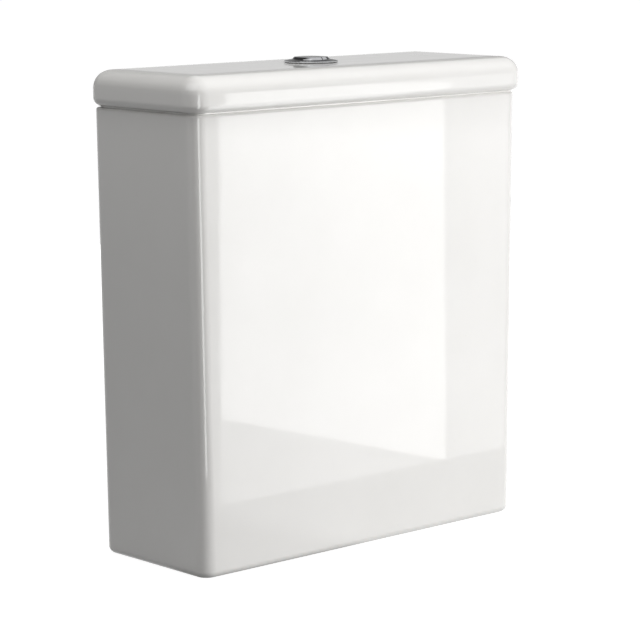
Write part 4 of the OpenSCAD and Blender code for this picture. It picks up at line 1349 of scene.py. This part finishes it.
@dataclass
class PushButton:
    """The chrome push button with its bezel, springs and rods, in millimetres."""

    bench: Bench
    bezel_r: float = 23.5
    edge_t: float = 0.9
    skirt: float = 0.4
    skirt_t: float = 0.6
    lip_r: float = 17.75
    sleeve_r: float = 18.75
    bore_r: float = 16.75
    sleeve_foot: float = 373.5
    thread_top: float = 405.5
    thread: Thread = Thread(pitch=2.0, ridge=0.55, groove=0.55, parts=64)
    thread_taper: float = 1.0
    fit_gap: float = 0.1
    bezel_z: float = 417.5
    lip_z: float = 419.5
    bezel_ease: float = 0.35
    gasket_ease: float = 0.3
    guide_t: float = 3.0
    guide_in: float = 0.3
    guide_parts: int = 96
    round_parts: int = 160
    cap_r: float = 16.45
    cap_under: float = 414.5
    rim_r: float = 14.65
    rim_z: float = 421.5
    crown: float = 0.5
    cut: float = 0.8
    cut_at: float = -1.0
    cut_ease: float = 0.22
    cut_angle: float = 50.0
    dome_parts: int = 10
    cap_ease: tuple[float, ...] = (0.0, 0.4, 0.35, 0.5)
    cap_steps: int = 5
    stem_r: float = 3.5
    stem_hole: float = 3.85
    stem_foot: float = 364.5
    stem_in: float = 1.0
    stem_ease: float = 0.3
    stem_parts: int = 48
    socket_r: float = 2.6
    socket_top: float = 376.5
    rod_x: float = 8.5
    rod_r: float = 2.5
    rod_tip: float = 3.0
    rod_plain: float = 12.0
    rod_taper: float = 0.5
    rod_ease: float = 0.5
    rod_parts: int = 40
    rod_thread: Thread = Thread(pitch=1.5, ridge=0.34, groove=0.3, parts=20)
    spring_r: float = 4.4
    spring_wire: float = 0.5
    spring_foot: float = 376.8
    spring_len: float = 37.4
    spring_turns: float = 7.0
    end_turns: float = 1.0
    coil_parts: int = 40
    coil_sides: int = 10
    travel: float = 6.0
    nut_r: float = 28.0
    nut_hollows: int = 12
    nut_hollow_r: float = 3.0
    nut_parts: int = 360
    nut_ease: float = 0.6
    nut_angle: float = 60.0

    def bezel(self) -> None:
        """Turns the bezel with its sleeve, thread and guide plate."""
        core, rim = self.sleeve_r - self.thread.groove, self.bezel_r - self.skirt_t
        foot, low, top = self.sleeve_foot, self.bezel_z, self.lip_z
        section = [(self.bore_r, foot), (core, foot), (core, self.thread_top),
                   (self.sleeve_r, self.thread_top + self.thread_taper), (self.sleeve_r, low),
                   (rim, low), (rim, low - self.skirt), (self.bezel_r, low - self.skirt),
                   (self.bezel_r, low + self.edge_t), (self.lip_r, top), (self.bore_r, top)]
        mould = Mould().lathe(eased(section, self.bezel_ease), steps=self.round_parts)
        plate = [(p.x, p.y) for p in circle(0.0, 0.0, core - self.guide_in, 0.0, self.guide_parts)]
        mould.prism(plate, foot, foot + self.guide_t,
                    [(x, self.stem_hole) for x in (-self.rod_x, self.rod_x)])
        ridge = self.bench.thread(Look.CHROME, 0.0, self.sleeve_r, foot, self.thread_top, self.thread)
        self.bench.joined("button_bezel", Look.CHROME, mould.cast("bezel", Look.CHROME), ridge)
        self.bench.ring("bezel_gasket", Look.RUBBER, self.sleeve_r + self.fit_gap, self.gasket_ease)

    def nut(self) -> None:
        """Makes the clamp nut with finger hollows round it."""
        low, high = self.bench.box("clamp_nut")
        far, half = self.nut_r + self.nut_hollow_r / 2, math.pi / self.nut_hollows
        outline: Section = []
        for i in range(self.nut_parts):
            angle = math.radians(i * 360 / self.nut_parts)
            off = (angle + half) % (2 * half) - half
            side = far * math.sin(off)
            radius = self.nut_r
            if abs(side) < self.nut_hollow_r:
                radius = min(radius, far * math.cos(off) - math.sqrt(self.nut_hollow_r ** 2 - side ** 2))
            outline.append((radius * math.cos(angle), radius * math.sin(angle)))
        mould = Mould().prism(outline, low.z, high.z, [(0.0, self.sleeve_r + self.fit_gap)])
        self.bench.poured("clamp_nut", Look.WHITE, mould.soften(self.nut_ease, self.nut_angle))

    def button(self, flush: Flush) -> None:
        """Makes one button: its half of the crowned cap, and its stem with the rod's socket.

        Args:
            flush: The flush that it starts.
        """
        side, parts, root = flush.value, self.dome_parts, self.cap_under + self.stem_in
        swell = (self.rim_r ** 2 + self.crown ** 2) / (2 * self.crown)
        dome = [(r, self.rim_z + self.crown - swell + math.sqrt(swell ** 2 - r ** 2))
                for r in (self.rim_r * k / parts for k in range(parts, -1, -1))]
        section = [(0.0, self.cap_under), (self.cap_r, self.cap_under), (self.cap_r, self.lip_z), *dome]
        ease = [*self.cap_ease, *[0.0] * parts]
        mould = Mould().lathe(eased(section, ease, self.cap_steps), steps=self.round_parts)
        mould.trim((self.cut_at + side * self.cut / 2, 0.0, 0.0), (-side, 0.0, 0.0))
        mould.soften(self.cut_ease, self.cut_angle)
        stem = [(self.socket_r, self.stem_foot), (self.stem_r, self.stem_foot), (self.stem_r, root),
                (0.0, root), (0.0, self.socket_top), (self.socket_r, self.socket_top)]
        mould.lathe(eased(stem, self.stem_ease), side * self.rod_x, steps=self.stem_parts)
        self.bench.poured(flush.node("button"), Look.CHROME, mould)

    def spring(self, flush: Flush) -> None:
        """Winds one spring with a closed turn at each end.

        Args:
            flush: The flush whose button it lifts.
        """
        x, wire = flush.value * self.rod_x, self.spring_wire
        foot, top = self.spring_foot + wire, self.spring_foot + self.spring_len - wire
        spans = [(foot, foot + 2 * wire, self.end_turns),
                 (foot + 2 * wire, top - 2 * wire, self.spring_turns),
                 (top - 2 * wire, top, self.end_turns)]
        coils = [self.bench.winding.grow(
            "coil", Look.STEEL, Matrix.Translation((x, 0.0, low)), Turns=turns, Radius=self.spring_r,
            Height=high - low, Wire=wire, Parts=self.coil_parts, Sides=self.coil_sides)
            for low, high, turns in spans]
        made = self.bench.joined(flush.node("spring"), Look.STEEL, *coils)
        flush.node("press")
        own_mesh(made)

    def rod(self, flush: Flush, look: Look) -> None:
        """Turns one push rod with a thread between its plain ends.

        Args:
            flush: The flush that it works.
            look: Its finish.
        """
        node, x = flush.node("rod"), flush.value * self.rod_x
        low, high = self.bench.box(node)
        core, tip, root = self.rod_r - self.rod_thread.groove, low.z + self.rod_tip, high.z - self.rod_plain
        section = [(0.0, low.z), (self.rod_r, low.z), (self.rod_r, tip), (core, tip + self.rod_taper),
                   (core, root - self.rod_taper), (self.rod_r, root), (self.rod_r, high.z), (0.0, high.z)]
        rod = Mould().lathe(eased(section, self.rod_ease), x, steps=self.rod_parts).cast("rod", look)
        ridge = self.bench.thread(look, x, self.rod_r, tip, root, self.rod_thread)
        self.bench.joined(node, look, rod, ridge)

    def build(self) -> None:
        """Builds the whole push button."""
        self.bezel()
        self.nut()
        for flush, look in ((Flush.FULL, Look.BLUE), (Flush.HALF, Look.RED)):
            self.button(flush)
            self.spring(flush)
            self.rod(flush, look)


@dataclass
class FlushValve:
    """The drop flush valve: its base, tower, tube, floats and rockers, in millimetres."""

    bench: Bench
    bore_r: float = 26.0
    tail_r: float = 28.5
    spigot_r: float = 30.0
    tail_top: float = -32.0
    flange_r: float = 44.0
    flange_low: float = 19.0
    flange_high: float = 24.0
    seat_r: float = 29.0
    tube_r: float = 14.0
    tube_bore: float = 11.5
    plate_low: float = 30.1
    plate_high: float = 33.1
    fit_gap: float = 0.1
    ring_gap: float = 0.3
    float_wall: float = 2.0
    base_ease: float = 0.7
    tube_ease: float = 0.6
    retainer_ease: float = 0.6
    seal_ease: float = 0.9
    ring_ease: tuple[float, ...] = (0.6, 5.0, 5.0, 0.6)
    float_ease: tuple[float, ...] = (0.5, 0.5, 0.5, 2.0, 0.5, 0.5, 4.0, 0.5)

    def build(self) -> None:
        """Builds the base with its seals, the tube with its float, and the levers."""
        bench = self.bench
        low, high = bench.box("valve_base")
        bench.turned("valve_base", Look.GREY, [
            (self.bore_r, low.z), (self.tail_r, low.z), (self.tail_r, self.tail_top),
            (self.spigot_r, self.tail_top), (self.spigot_r, self.flange_low),
            (self.flange_r, self.flange_low), (self.flange_r, self.flange_high),
            (self.seat_r, self.flange_high), (self.seat_r, high.z), (self.bore_r, high.z)], self.base_ease)
        bench.ring("valve_washer", Look.RUBBER, self.spigot_r + self.fit_gap, self.seal_ease)
        bench.ring("coupling_ring", Look.RUBBER, self.spigot_r + self.ring_gap, self.ring_ease)
        low, high = bench.box("overflow_tube")
        bench.turned("overflow_tube", Look.WHITE, [
            (self.tube_bore, low.z), (self.tube_r, low.z), (self.tube_r, self.plate_low),
            (high.x, self.plate_low), (high.x, self.plate_high), (self.tube_r, self.plate_high),
            (self.tube_r, high.z), (self.tube_bore, high.z)], self.tube_ease)
        inner = self.tube_r + self.fit_gap
        bench.ring("outlet_seal", Look.RUBBER, inner, self.seal_ease)
        bench.ring("seal_retainer", Look.GREY, inner, self.retainer_ease)
        low, high = bench.box("main_float")
        shell = float_shell(inner, high.x, self.float_wall, low.z, high.z)
        bench.turned("main_float", Look.WHITE, shell, self.float_ease)
        bench.softened(Look.WHITE, "valve_back_nut", "valve_tower", "half_float", width=0.6)
        bench.softened(Look.GREY, "rocker_frame", width=0.5)
        bench.softened(Look.STEEL, "rocker_pins", width=0.35)
        bench.softened(Look.BLUE, "full_rocker", "lift_yoke", width=0.5)
        bench.softened(Look.RED, "half_rocker", "half_carriage", width=0.5)


@dataclass
class FloatValve:
    """The bottom-entry float valve: its riser, head, arm and float, in millimetres."""

    bench: Bench
    x: float = 135.0
    bore_r: float = 5.5
    tail_r: float = 10.48
    neck_r: float = 10.75
    neck_low: float = -7.1
    flange_r: float = 18.0
    flange_low: float = 19.0
    flange_high: float = 24.0
    riser_r: float = 8.0
    riser_ease: float = 0.5
    lead_in: float = 0.4
    lead_up: float = 0.8
    neck_taper: float = 0.9
    inlet_thread: Thread = Thread(pitch=1.814, ridge=0.6, groove=0.6, run_out=(1.2, 1.2), parts=40)
    fit_gap: float = 0.1
    washer_ease: float = 0.8
    nut_flats: float = 32.0
    nut_ease: float = 0.8
    cap_r: float = 23.6
    skirt_r: float = 21.1
    skirt_top: float = 282.0
    cap_ease: tuple[float, ...] = (0.4, 0.4, 2.0, 0.0, 0.0, 0.3, 0.3, 0.3)
    cap_ribs: int = 16
    rib_r: float = 1.5
    seat_r: float = 17.1
    seat_top: float = 283.6
    float_r: float = 29.0
    float_bore: float = 13.35
    float_wall: float = 2.0
    float_ease: tuple[float, ...] = (0.5, 0.5, 0.5, 2.0, 0.5, 0.5, 3.0, 0.5)
    link_x: float = 73.0
    link_r: float = 2.5
    link_ease: float = 0.4
    link_parts: int = 40
    link_thread: Thread = Thread(pitch=1.25, ridge=0.34, groove=0.3, parts=20)
    head_r: float = 5.5
    head_t: float = 3.0
    lug_t: float = 6.0
    lug_parts: int = 24
    lug_ease: float = 0.5
    thumb_h: float = 4.0
    thumb_parts: int = 60
    thumb_ribs: int = 24
    thumb_rib_r: float = 0.5
    thumb_rib_short: float = 1.0
    arm_half_t: float = 2.0
    arm_swing: float = 15.0
    fork_reach: float = 8.0
    fork_gap: float = 0.3

    def inlet(self) -> None:
        """Turns the inlet with its thread, washer, nut and riser."""
        low, high = self.bench.box("inlet_riser")
        core = self.tail_r - self.inlet_thread.groove
        section = [(self.bore_r, low.z), (core - self.lead_in, low.z), (core, low.z + self.lead_up),
                   (core, self.neck_low - self.neck_taper), (self.neck_r, self.neck_low),
                   (self.neck_r, self.flange_low), (self.flange_r, self.flange_low),
                   (self.flange_r, self.flange_high), (self.riser_r, self.flange_high),
                   (self.riser_r, high.z), (self.bore_r, high.z)]
        riser = Mould().lathe(eased(section, self.riser_ease), self.x).cast("riser", Look.WHITE)
        ridge = self.bench.thread(Look.WHITE, self.x, self.tail_r, low.z, self.neck_low, self.inlet_thread)
        self.bench.joined("inlet_riser", Look.WHITE, riser, ridge)
        bore = self.neck_r + self.fit_gap
        self.bench.ring("inlet_washer", Look.RUBBER, bore, self.washer_ease, self.flange_r, [(self.x, 0.0)])
        low, high = self.bench.box("inlet_nut")
        nut = Mould().prism(hexagon(self.nut_flats), low.z, high.z, [(0.0, bore)], self.x)
        self.bench.poured("inlet_nut", Look.WHITE, nut.soften(self.nut_ease))

    def cap(self) -> None:
        """Turns the head's cap and stands its grip ribs round the skirt."""
        low, high = self.bench.box("head_cap")
        section = [(self.skirt_r, low.z), (self.cap_r, low.z), (self.cap_r, high.z), (0.0, high.z),
                   (0.0, self.seat_top), (self.seat_r, self.seat_top), (self.seat_r, self.skirt_top),
                   (self.skirt_r, self.skirt_top)]
        cap = Mould().lathe(eased(section, self.cap_ease), self.x).cast("cap", Look.BLUE)
        tall = self.skirt_top - low.z
        place = (Matrix.Translation((self.x, 0.0, low.z + tall / 2))
                 @ Matrix.Rotation(math.pi / self.cap_ribs, 4, "Z"))
        ribs = self.bench.grip(Look.BLUE, place, self.cap_ribs, self.cap_r, self.rib_r, tall)
        self.bench.joined("head_cap", Look.BLUE, cap, ribs)
        low, high = self.bench.box("diaphragm")
        self.bench.turned("diaphragm", Look.RUBBER, disc(self.seat_r - self.fit_gap, low.z, high.z),
                          places=[(self.x, 0.0)])

    def cup(self) -> None:
        """Turns the float cup and adds the lug that the link rod hangs in."""
        low, high = self.bench.box("float_cup")
        shell = float_shell(self.float_bore, self.float_r, self.float_wall, low.z, high.z)
        reach = self.x - self.float_r + self.float_wall - self.link_x
        tongue = [(reach, -self.head_r), (reach, self.head_r)]
        tongue += [(self.head_r * math.cos(a), self.head_r * math.sin(a))
                   for a in (math.radians(90 + 180 / self.lug_parts * i) for i in range(self.lug_parts + 1))]
        mould = Mould().prism(tongue, high.z - self.lug_t, high.z, [(0.0, self.link_r + self.fit_gap)],
                              self.link_x).soften(self.lug_ease)
        self.bench.poured("float_cup", Look.WHITE, mould.lathe(eased(shell, self.float_ease), self.x))

    def link(self) -> None:
        """Turns the link rod with its thread, and its knurled thumb nuts."""
        low, high = self.bench.box("link_rod")
        core, neck = self.link_r - self.link_thread.groove, low.z + self.head_t
        section = [(0.0, low.z), (self.head_r, low.z), (self.head_r, neck), (core, neck), (core, high.z),
                   (0.0, high.z)]
        rod = Mould().lathe(eased(section, self.link_ease), self.link_x, steps=self.link_parts)
        pieces = [rod.cast("rod", Look.WHITE)]
        pieces.append(self.bench.thread(Look.WHITE, self.link_x, self.link_r, neck, high.z, self.link_thread))
        self.bench.joined("link_rod", Look.WHITE, *pieces)
        low, high = self.bench.box("thumb_nuts")
        outer, tall, grips = self.head_r - self.thumb_rib_r, self.thumb_h, []
        for foot in (low.z, high.z - 2 * tall - self.stand_off(), high.z - tall):
            section = hoop(outer, self.link_r + self.fit_gap, foot, foot + tall)
            nut = Mould().lathe(eased(section, self.link_ease), self.link_x, steps=self.thumb_parts)
            grips.append(nut.cast("nut", Look.BLUE))
            place = Matrix.Translation((self.link_x, 0.0, foot + tall / 2))
            grips.append(self.bench.grip(Look.BLUE, place, self.thumb_ribs, outer, self.thumb_rib_r,
                                         tall - self.thumb_rib_short))
        self.bench.joined("thumb_nuts", Look.BLUE, *grips)

    def stand_off(self) -> float:
        """Gives the gap between the two nuts on either side of the arm's fork."""
        swing = math.radians(self.arm_swing)
        return 2 * (self.arm_half_t / math.cos(swing) + self.fork_reach * math.tan(swing) + self.fork_gap)

    def build(self) -> None:
        """Builds the whole float valve."""
        self.inlet()
        self.cap()
        self.cup()
        self.link()
        self.bench.softened(Look.BLUE, "inlet_strainer", width=0.2)
        self.bench.softened(Look.GREY, "discharge_jacket", "float_arm", width=0.4)
        self.bench.softened(Look.WHITE, "valve_head", width=0.5)
        self.bench.softened(Look.RUBBER, "pilot_pad", width=0.3)
        self.bench.softened(Look.STEEL, "arm_pin", width=0.3)


@dataclass
class CouplingKit:
    """The two coupling bolts with their washers, lock nuts and wing nuts, in millimetres."""

    bench: Bench
    places: tuple[tuple[float, float], ...] = ((-75.0, 0.0), (75.0, 0.0))
    bolt_r: float = 4.0
    waist_r: float = 3.6
    waist_low: float = -29.6
    waist_high: float = -8.1
    flats: float = 13.0
    head_low: float = 21.6
    head_in: float = 0.5
    bore: float = 4.1
    thread: Thread = Thread(pitch=1.25, ridge=0.42, groove=0.42, run_out=(1.0, 0.6))
    lead_in: float = 0.5
    lead_up: float = 0.8
    shank_ease: float = 0.25
    shank_parts: int = 48
    hex_ease: float = 0.5
    soft_r: float = 13.0
    hard_r: float = 10.0
    hard_ease: float = 0.3

    def bolts(self) -> None:
        """Makes the bolts: hexagon head, shank, plain waist and threaded end."""
        low, high = self.bench.box("coupling_bolts")
        core, root = self.bolt_r - self.thread.groove, self.head_low + self.head_in
        section = [(0.0, low.z), (core - self.lead_in, low.z), (core, low.z + self.lead_up),
                   (core, self.waist_low), (self.waist_r, self.waist_low), (self.waist_r, self.waist_high),
                   (self.bolt_r, self.waist_high), (self.bolt_r, root), (0.0, root)]
        pieces = []
        for x, _ in self.places:
            mould = Mould().prism(hexagon(self.flats), self.head_low, high.z, (), x).soften(self.hex_ease)
            mould.lathe(eased(section, self.shank_ease), x, steps=self.shank_parts)
            pieces.append(mould.cast("bolt", Look.BRASS))
            pieces.append(self.bench.thread(Look.BRASS, x, self.bolt_r, low.z, self.waist_low, self.thread))
        self.bench.joined("coupling_bolts", Look.BRASS, *pieces)

    def build(self) -> None:
        """Builds the bolts, their washers and their nuts."""
        self.bolts()
        for soft, ease, hard in (("upper_washers", 1.0, "head_washers"),
                                 ("lower_washers", 0.8, "nut_washers"),
                                 ("wing_washers", 0.8, "wing_plates")):
            self.bench.ring(soft, Look.RUBBER, self.bore, ease, self.soft_r, self.places)
            self.bench.ring(hard, Look.BRASS, self.bore, self.hard_ease, self.hard_r, self.places)
        low, high = self.bench.box("lock_nuts")
        mould = Mould()
        for x, _ in self.places:
            mould.prism(hexagon(self.flats), low.z, high.z, [(0.0, self.bore)], x)
        self.bench.poured("lock_nuts", Look.BRASS, mould.soften(self.hex_ease))
        self.bench.softened(Look.BRASS, "wing_nuts", width=0.5)


class Shine(Enum):
    """What a lamp panel does: lights matt colour, shows in reflections, or both."""

    SOFT = (True, False)
    MIRROR = (False, True)
    BOTH = (True, True)


@dataclass(frozen=True)
class Panel:
    """A soft lamp panel: its place, what it faces, its size and its strength."""

    name: str
    place: Point
    at: Point
    size: tuple[float, float]
    power: float
    shine: Shine = Shine.SOFT
    mask: tuple[float, float] | None = None

    def hang(self) -> None:
        """Hangs the panel, hidden from the camera; a mask flags its lower edge off."""
        data = bpy.data.lights.new(self.name, "AREA")
        data.shape = "RECTANGLE"
        data.size, data.size_y = self.size
        data.energy = self.power
        if self.mask:
            data.use_nodes = True
            graph = Graph(data.node_tree)
            across = graph.out(graph.node("ShaderNodeNewGeometry"), "Parametric")
            edge = graph.axis(across, "X") * self.mask[0] + self.mask[1]
            open_part = graph.axis(across, "Y") > edge
            graph.node("ShaderNodeOutputLight", {}, {"Surface": graph.emission(open_part)})
        made = bpy.data.objects.new(self.name, data)
        facing = (Vector(self.at) - Vector(self.place)).to_track_quat("-Z", "Y")
        made.matrix_world = Matrix.Translation(self.place) @ facing.to_matrix().to_4x4()
        made.visible_camera = False
        made.visible_diffuse, made.visible_glossy = self.shine.value
        bpy.context.scene.collection.objects.link(made)


@dataclass
class Studio:
    """The pale ground, the soft light and the camera of the photograph."""

    yaw: float = 42.119
    pitch: float = 9.159
    roll: float = -0.333
    distance: float = 2301.614 * MM
    aim: Point = (8.817 * MM, 0.0, 189.111 * MM)
    focal_px: float = 2605.508
    frame_px: float = 640.0
    sensor: float = 36.0
    far_clip: float = 50.0
    ambient: float = 0.05
    tones: tuple[tuple[float, float], ...] = (
        (0.0, 1.0), (0.015, 1.0), (0.09, 0.38), (0.2, 0.28), (0.3, 0.2), (0.42, 0.05))
    glow_near: float = 0.93
    glow_far: float = 1.0
    # Painted darker reflection: how much the ground toward the camera is dimmed in reflections only, and over
    # which band of directions.
    reflection_dim: float = 0.85
    reflection_dim_band: Band = (0.72, 0.9)
    sky: Point = (0.8, 0.8, 0.81)
    sky_band: Band = (0.44, 0.54)
    sky_side: Band = (-0.35, 0.0)
    ground_half: float = 20.0
    ground_fade: Band = (0.5, 3.0)
    well_half: float = 0.16
    well_rim: float = 0.02
    shade_band: Band = (-0.45, -0.05)
    shade_left: Point = (0.12, 0.12, 0.12)
    shade_right: Point = (0.45, 0.45, 0.45)
    shadow: Point = (0.25, 0.25, 0.25)
    panels: tuple[Panel, ...] = (
        Panel("key_panel", (2.45, -3.15, 0.95), (0.0, 0.0, 0.2), (2.1, 2.1), 104),
        Panel("top_panel", (-0.85, -0.28, 1.3), (-0.15, 0.0, 0.3), (1.0, 1.0), 5.8, Shine.BOTH),
        Panel("side_panel", (-1.3, -0.45, 0.6), (-0.19, 0.0, 0.25), (0.5, 0.5), 0.5),
        Panel("back_panel", (0.9, 1.7, 0.5), (0.0, 0.0, 0.2), (1.2, 1.2), 24),
        Panel("overhead_panel", (-0.05, -0.5, 1.7), (0.0, 0.0, 0.4), (1.0, 0.8), 9),
        Panel("bounce_panel", (0.35, -0.75, 0.06), (0.0, -0.07, 0.38), (1.0, 0.25), 1.7),
        Panel("window_panel", (0.1496, -0.2743, 0.2053), (-0.0373, -0.0698, 0.2457), (0.214, 0.362), 0.5,
              Shine.MIRROR, (-0.1088, 0.1074)),
        Panel("fill_panel", (0.0985, -0.16, 0.2165), (0.0985, -0.06, 0.2165), (0.373, 0.367), 0.52,
              Shine.MIRROR),
        Panel("edge_panel", (-0.324, -0.395, 0.201), (-0.181, -0.067, 0.201), (0.08, 0.4), 0.5,
              Shine.MIRROR),
        Panel("rear_panel", (0.14, 0.22, 0.2), (0.14, 0.07, 0.2), (0.34, 0.28), 0.5, Shine.MIRROR),
    )

    def camera(self) -> None:
        """Sets the camera that the photograph was fitted with."""
        yaw, pitch, roll = (math.radians(a) for a in (self.yaw, self.pitch, self.roll))
        ahead = Vector((math.sin(yaw) * math.cos(pitch), math.cos(yaw) * math.cos(pitch), -math.sin(pitch)))
        right = Vector((math.cos(yaw), -math.sin(yaw), 0.0))
        up = right.cross(ahead)
        right, up = (right * math.cos(roll) + up * math.sin(roll),
                     up * math.cos(roll) - right * math.sin(roll))
        eye = Vector(self.aim) - ahead * self.distance
        data = bpy.data.cameras.new("photo_camera")
        data.sensor_width = self.sensor
        data.lens = data.sensor_width * self.focal_px / self.frame_px
        data.clip_end = self.far_clip
        made = bpy.data.objects.new("photo_camera", data)
        turn = Matrix((right, up, -ahead)).transposed().to_4x4()
        made.matrix_world = Matrix.Translation(eye) @ turn
        bpy.context.scene.collection.objects.link(made)
        bpy.context.scene.camera = made

    def seen(self, graph: Graph) -> Signal:
        """Gives 1 for rays that show the ground or the backdrop, straight or in a reflection.

        Args:
            graph: The nodes of the ground or the backdrop.

        Returns:
            The signal.
        """
        path = graph.node("ShaderNodeLightPath")
        straight = graph.out(path, "Is Camera Ray") + graph.out(path, "Is Glossy Ray")
        return (straight + graph.out(path, "Is Transmission Ray")).clipped()

    def backdrop(self) -> None:
        """Makes a backdrop that is white low down and lights the object only softly."""
        world = bpy.data.worlds.new("backdrop")
        bpy.context.scene.world = world
        world.use_nodes = True
        graph = Graph(world.node_tree)
        ray = graph.out(graph.node("ShaderNodeTexCoord"), "Generated")
        height = graph.axis(ray, "Z")
        stops = [(place, (tone,) * 3) for place, tone in self.tones]
        tones = graph.out(graph.node("ShaderNodeValToRGB", {"stops": stops}, {"Fac": height}))
        yaw = math.radians(self.yaw)
        aside = graph.axis(ray, "X") * math.cos(yaw) - graph.axis(ray, "Y") * math.sin(yaw)
        lit = graph.spread(height, *self.sky_band) * graph.spread(aside, *self.sky_side)
        sky = graph.tint(lit, tones, self.sky)
        shown = graph.out(graph.node("ShaderNodeBackground", {}, {"Color": sky, "Strength": 1.0}))
        soft = graph.out(graph.node("ShaderNodeBackground", {}, {
            "Color": (*WHITE, 1.0), "Strength": self.ambient}))
        graph.node("ShaderNodeOutputWorld", {}, {"Surface": graph.blend(self.seen(graph), soft, shown)})

    def paper(self) -> bpy.types.Material:
        """Makes the ground's material: white where it is seen, with a painted darker reflection of its part
        toward the camera, and a matt shade for the light.

        Returns:
            The material, clear from below.
        """
        made = bpy.data.materials.new("ground_paper")
        made.use_nodes = True
        graph = Graph(made.node_tree)
        spot = graph.place()
        reach = graph.out(graph.node("ShaderNodeVectorMath", {"operation": "LENGTH"}, {0: spot}), "Value")
        white = graph.spread(reach, *self.ground_fade, self.glow_near, self.glow_far)
        east, north = graph.axis(spot, "X"), graph.axis(spot, "Y")
        yaw = math.radians(self.yaw)
        ahead = (east * -math.sin(yaw) + north * -math.cos(yaw)) / reach
        # Painted darker reflection: glossy rays see the ground toward the camera dimmed, which shades the
        # lower faces that look down toward it.
        mirrored = graph.out(graph.node("ShaderNodeLightPath"), "Is Glossy Ray")
        white = white * (1.0 - mirrored * graph.spread(ahead, *self.reflection_dim_band, 0.0, self.reflection_dim))
        shade = graph.tint(graph.spread(east, *self.shade_band), self.shade_left, self.shade_right)
        matt, faint = (graph.out(graph.node("ShaderNodeBsdfDiffuse", {}, {"Color": colour}))
                       for colour in (shade, (*self.shadow, 1.0)))
        lit = graph.out(graph.node("ShaderNodeAddShader", {}, {0: faint, 1: graph.emission(white)}))
        upper = graph.blend(self.seen(graph), matt, lit)
        behind = graph.out(graph.node("ShaderNodeNewGeometry"), "Backfacing")
        clear = graph.out(graph.node("ShaderNodeBsdfTransparent"))
        graph.node("ShaderNodeOutputMaterial", {}, {"Surface": graph.blend(behind, upper, clear)})
        return made

    def ground(self) -> None:
        """Lays a pale ground at the plane of the base, open under the tank for its fittings."""
        mould = Mould()
        low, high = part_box("tank")
        far, rim = self.ground_half, self.well_rim
        outer, well = (mould.loop(Vector((x, y, 0.0)) / MM for x, y in (
            (half, front), (half, back), (-half, back), (-half, front)))
            for half, front, back in ((far, -far, far), (self.well_half, low.y + rim, high.y - rim)))
        mould.plate(outer, [well])
        made = mould.cast("ground", Look.CHINA)
        made.data.materials[0] = self.paper()
        if made.data.polygons[0].normal.z < 0:
            made.data.flip_normals()

    def build(self) -> None:
        """Sets up the camera, the backdrop, the ground and the lamps."""
        self.camera()
        self.backdrop()
        self.ground()
        for panel in self.panels:
            panel.hang()
        bpy.context.scene.view_settings.view_transform = "Standard"


def main() -> None:
    """Builds the dressed cistern over its frame."""
    logging.basicConfig(level=logging.INFO, format="%(name)s: %(message)s")
    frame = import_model()
    bench = Bench(frame)
    for assembly in (Tank, Lid, PushButton, FlushValve, FloatValve, CouplingKit):
        assembly(bench).build()
    Studio().build()


if __name__ == "__main__":
    main()
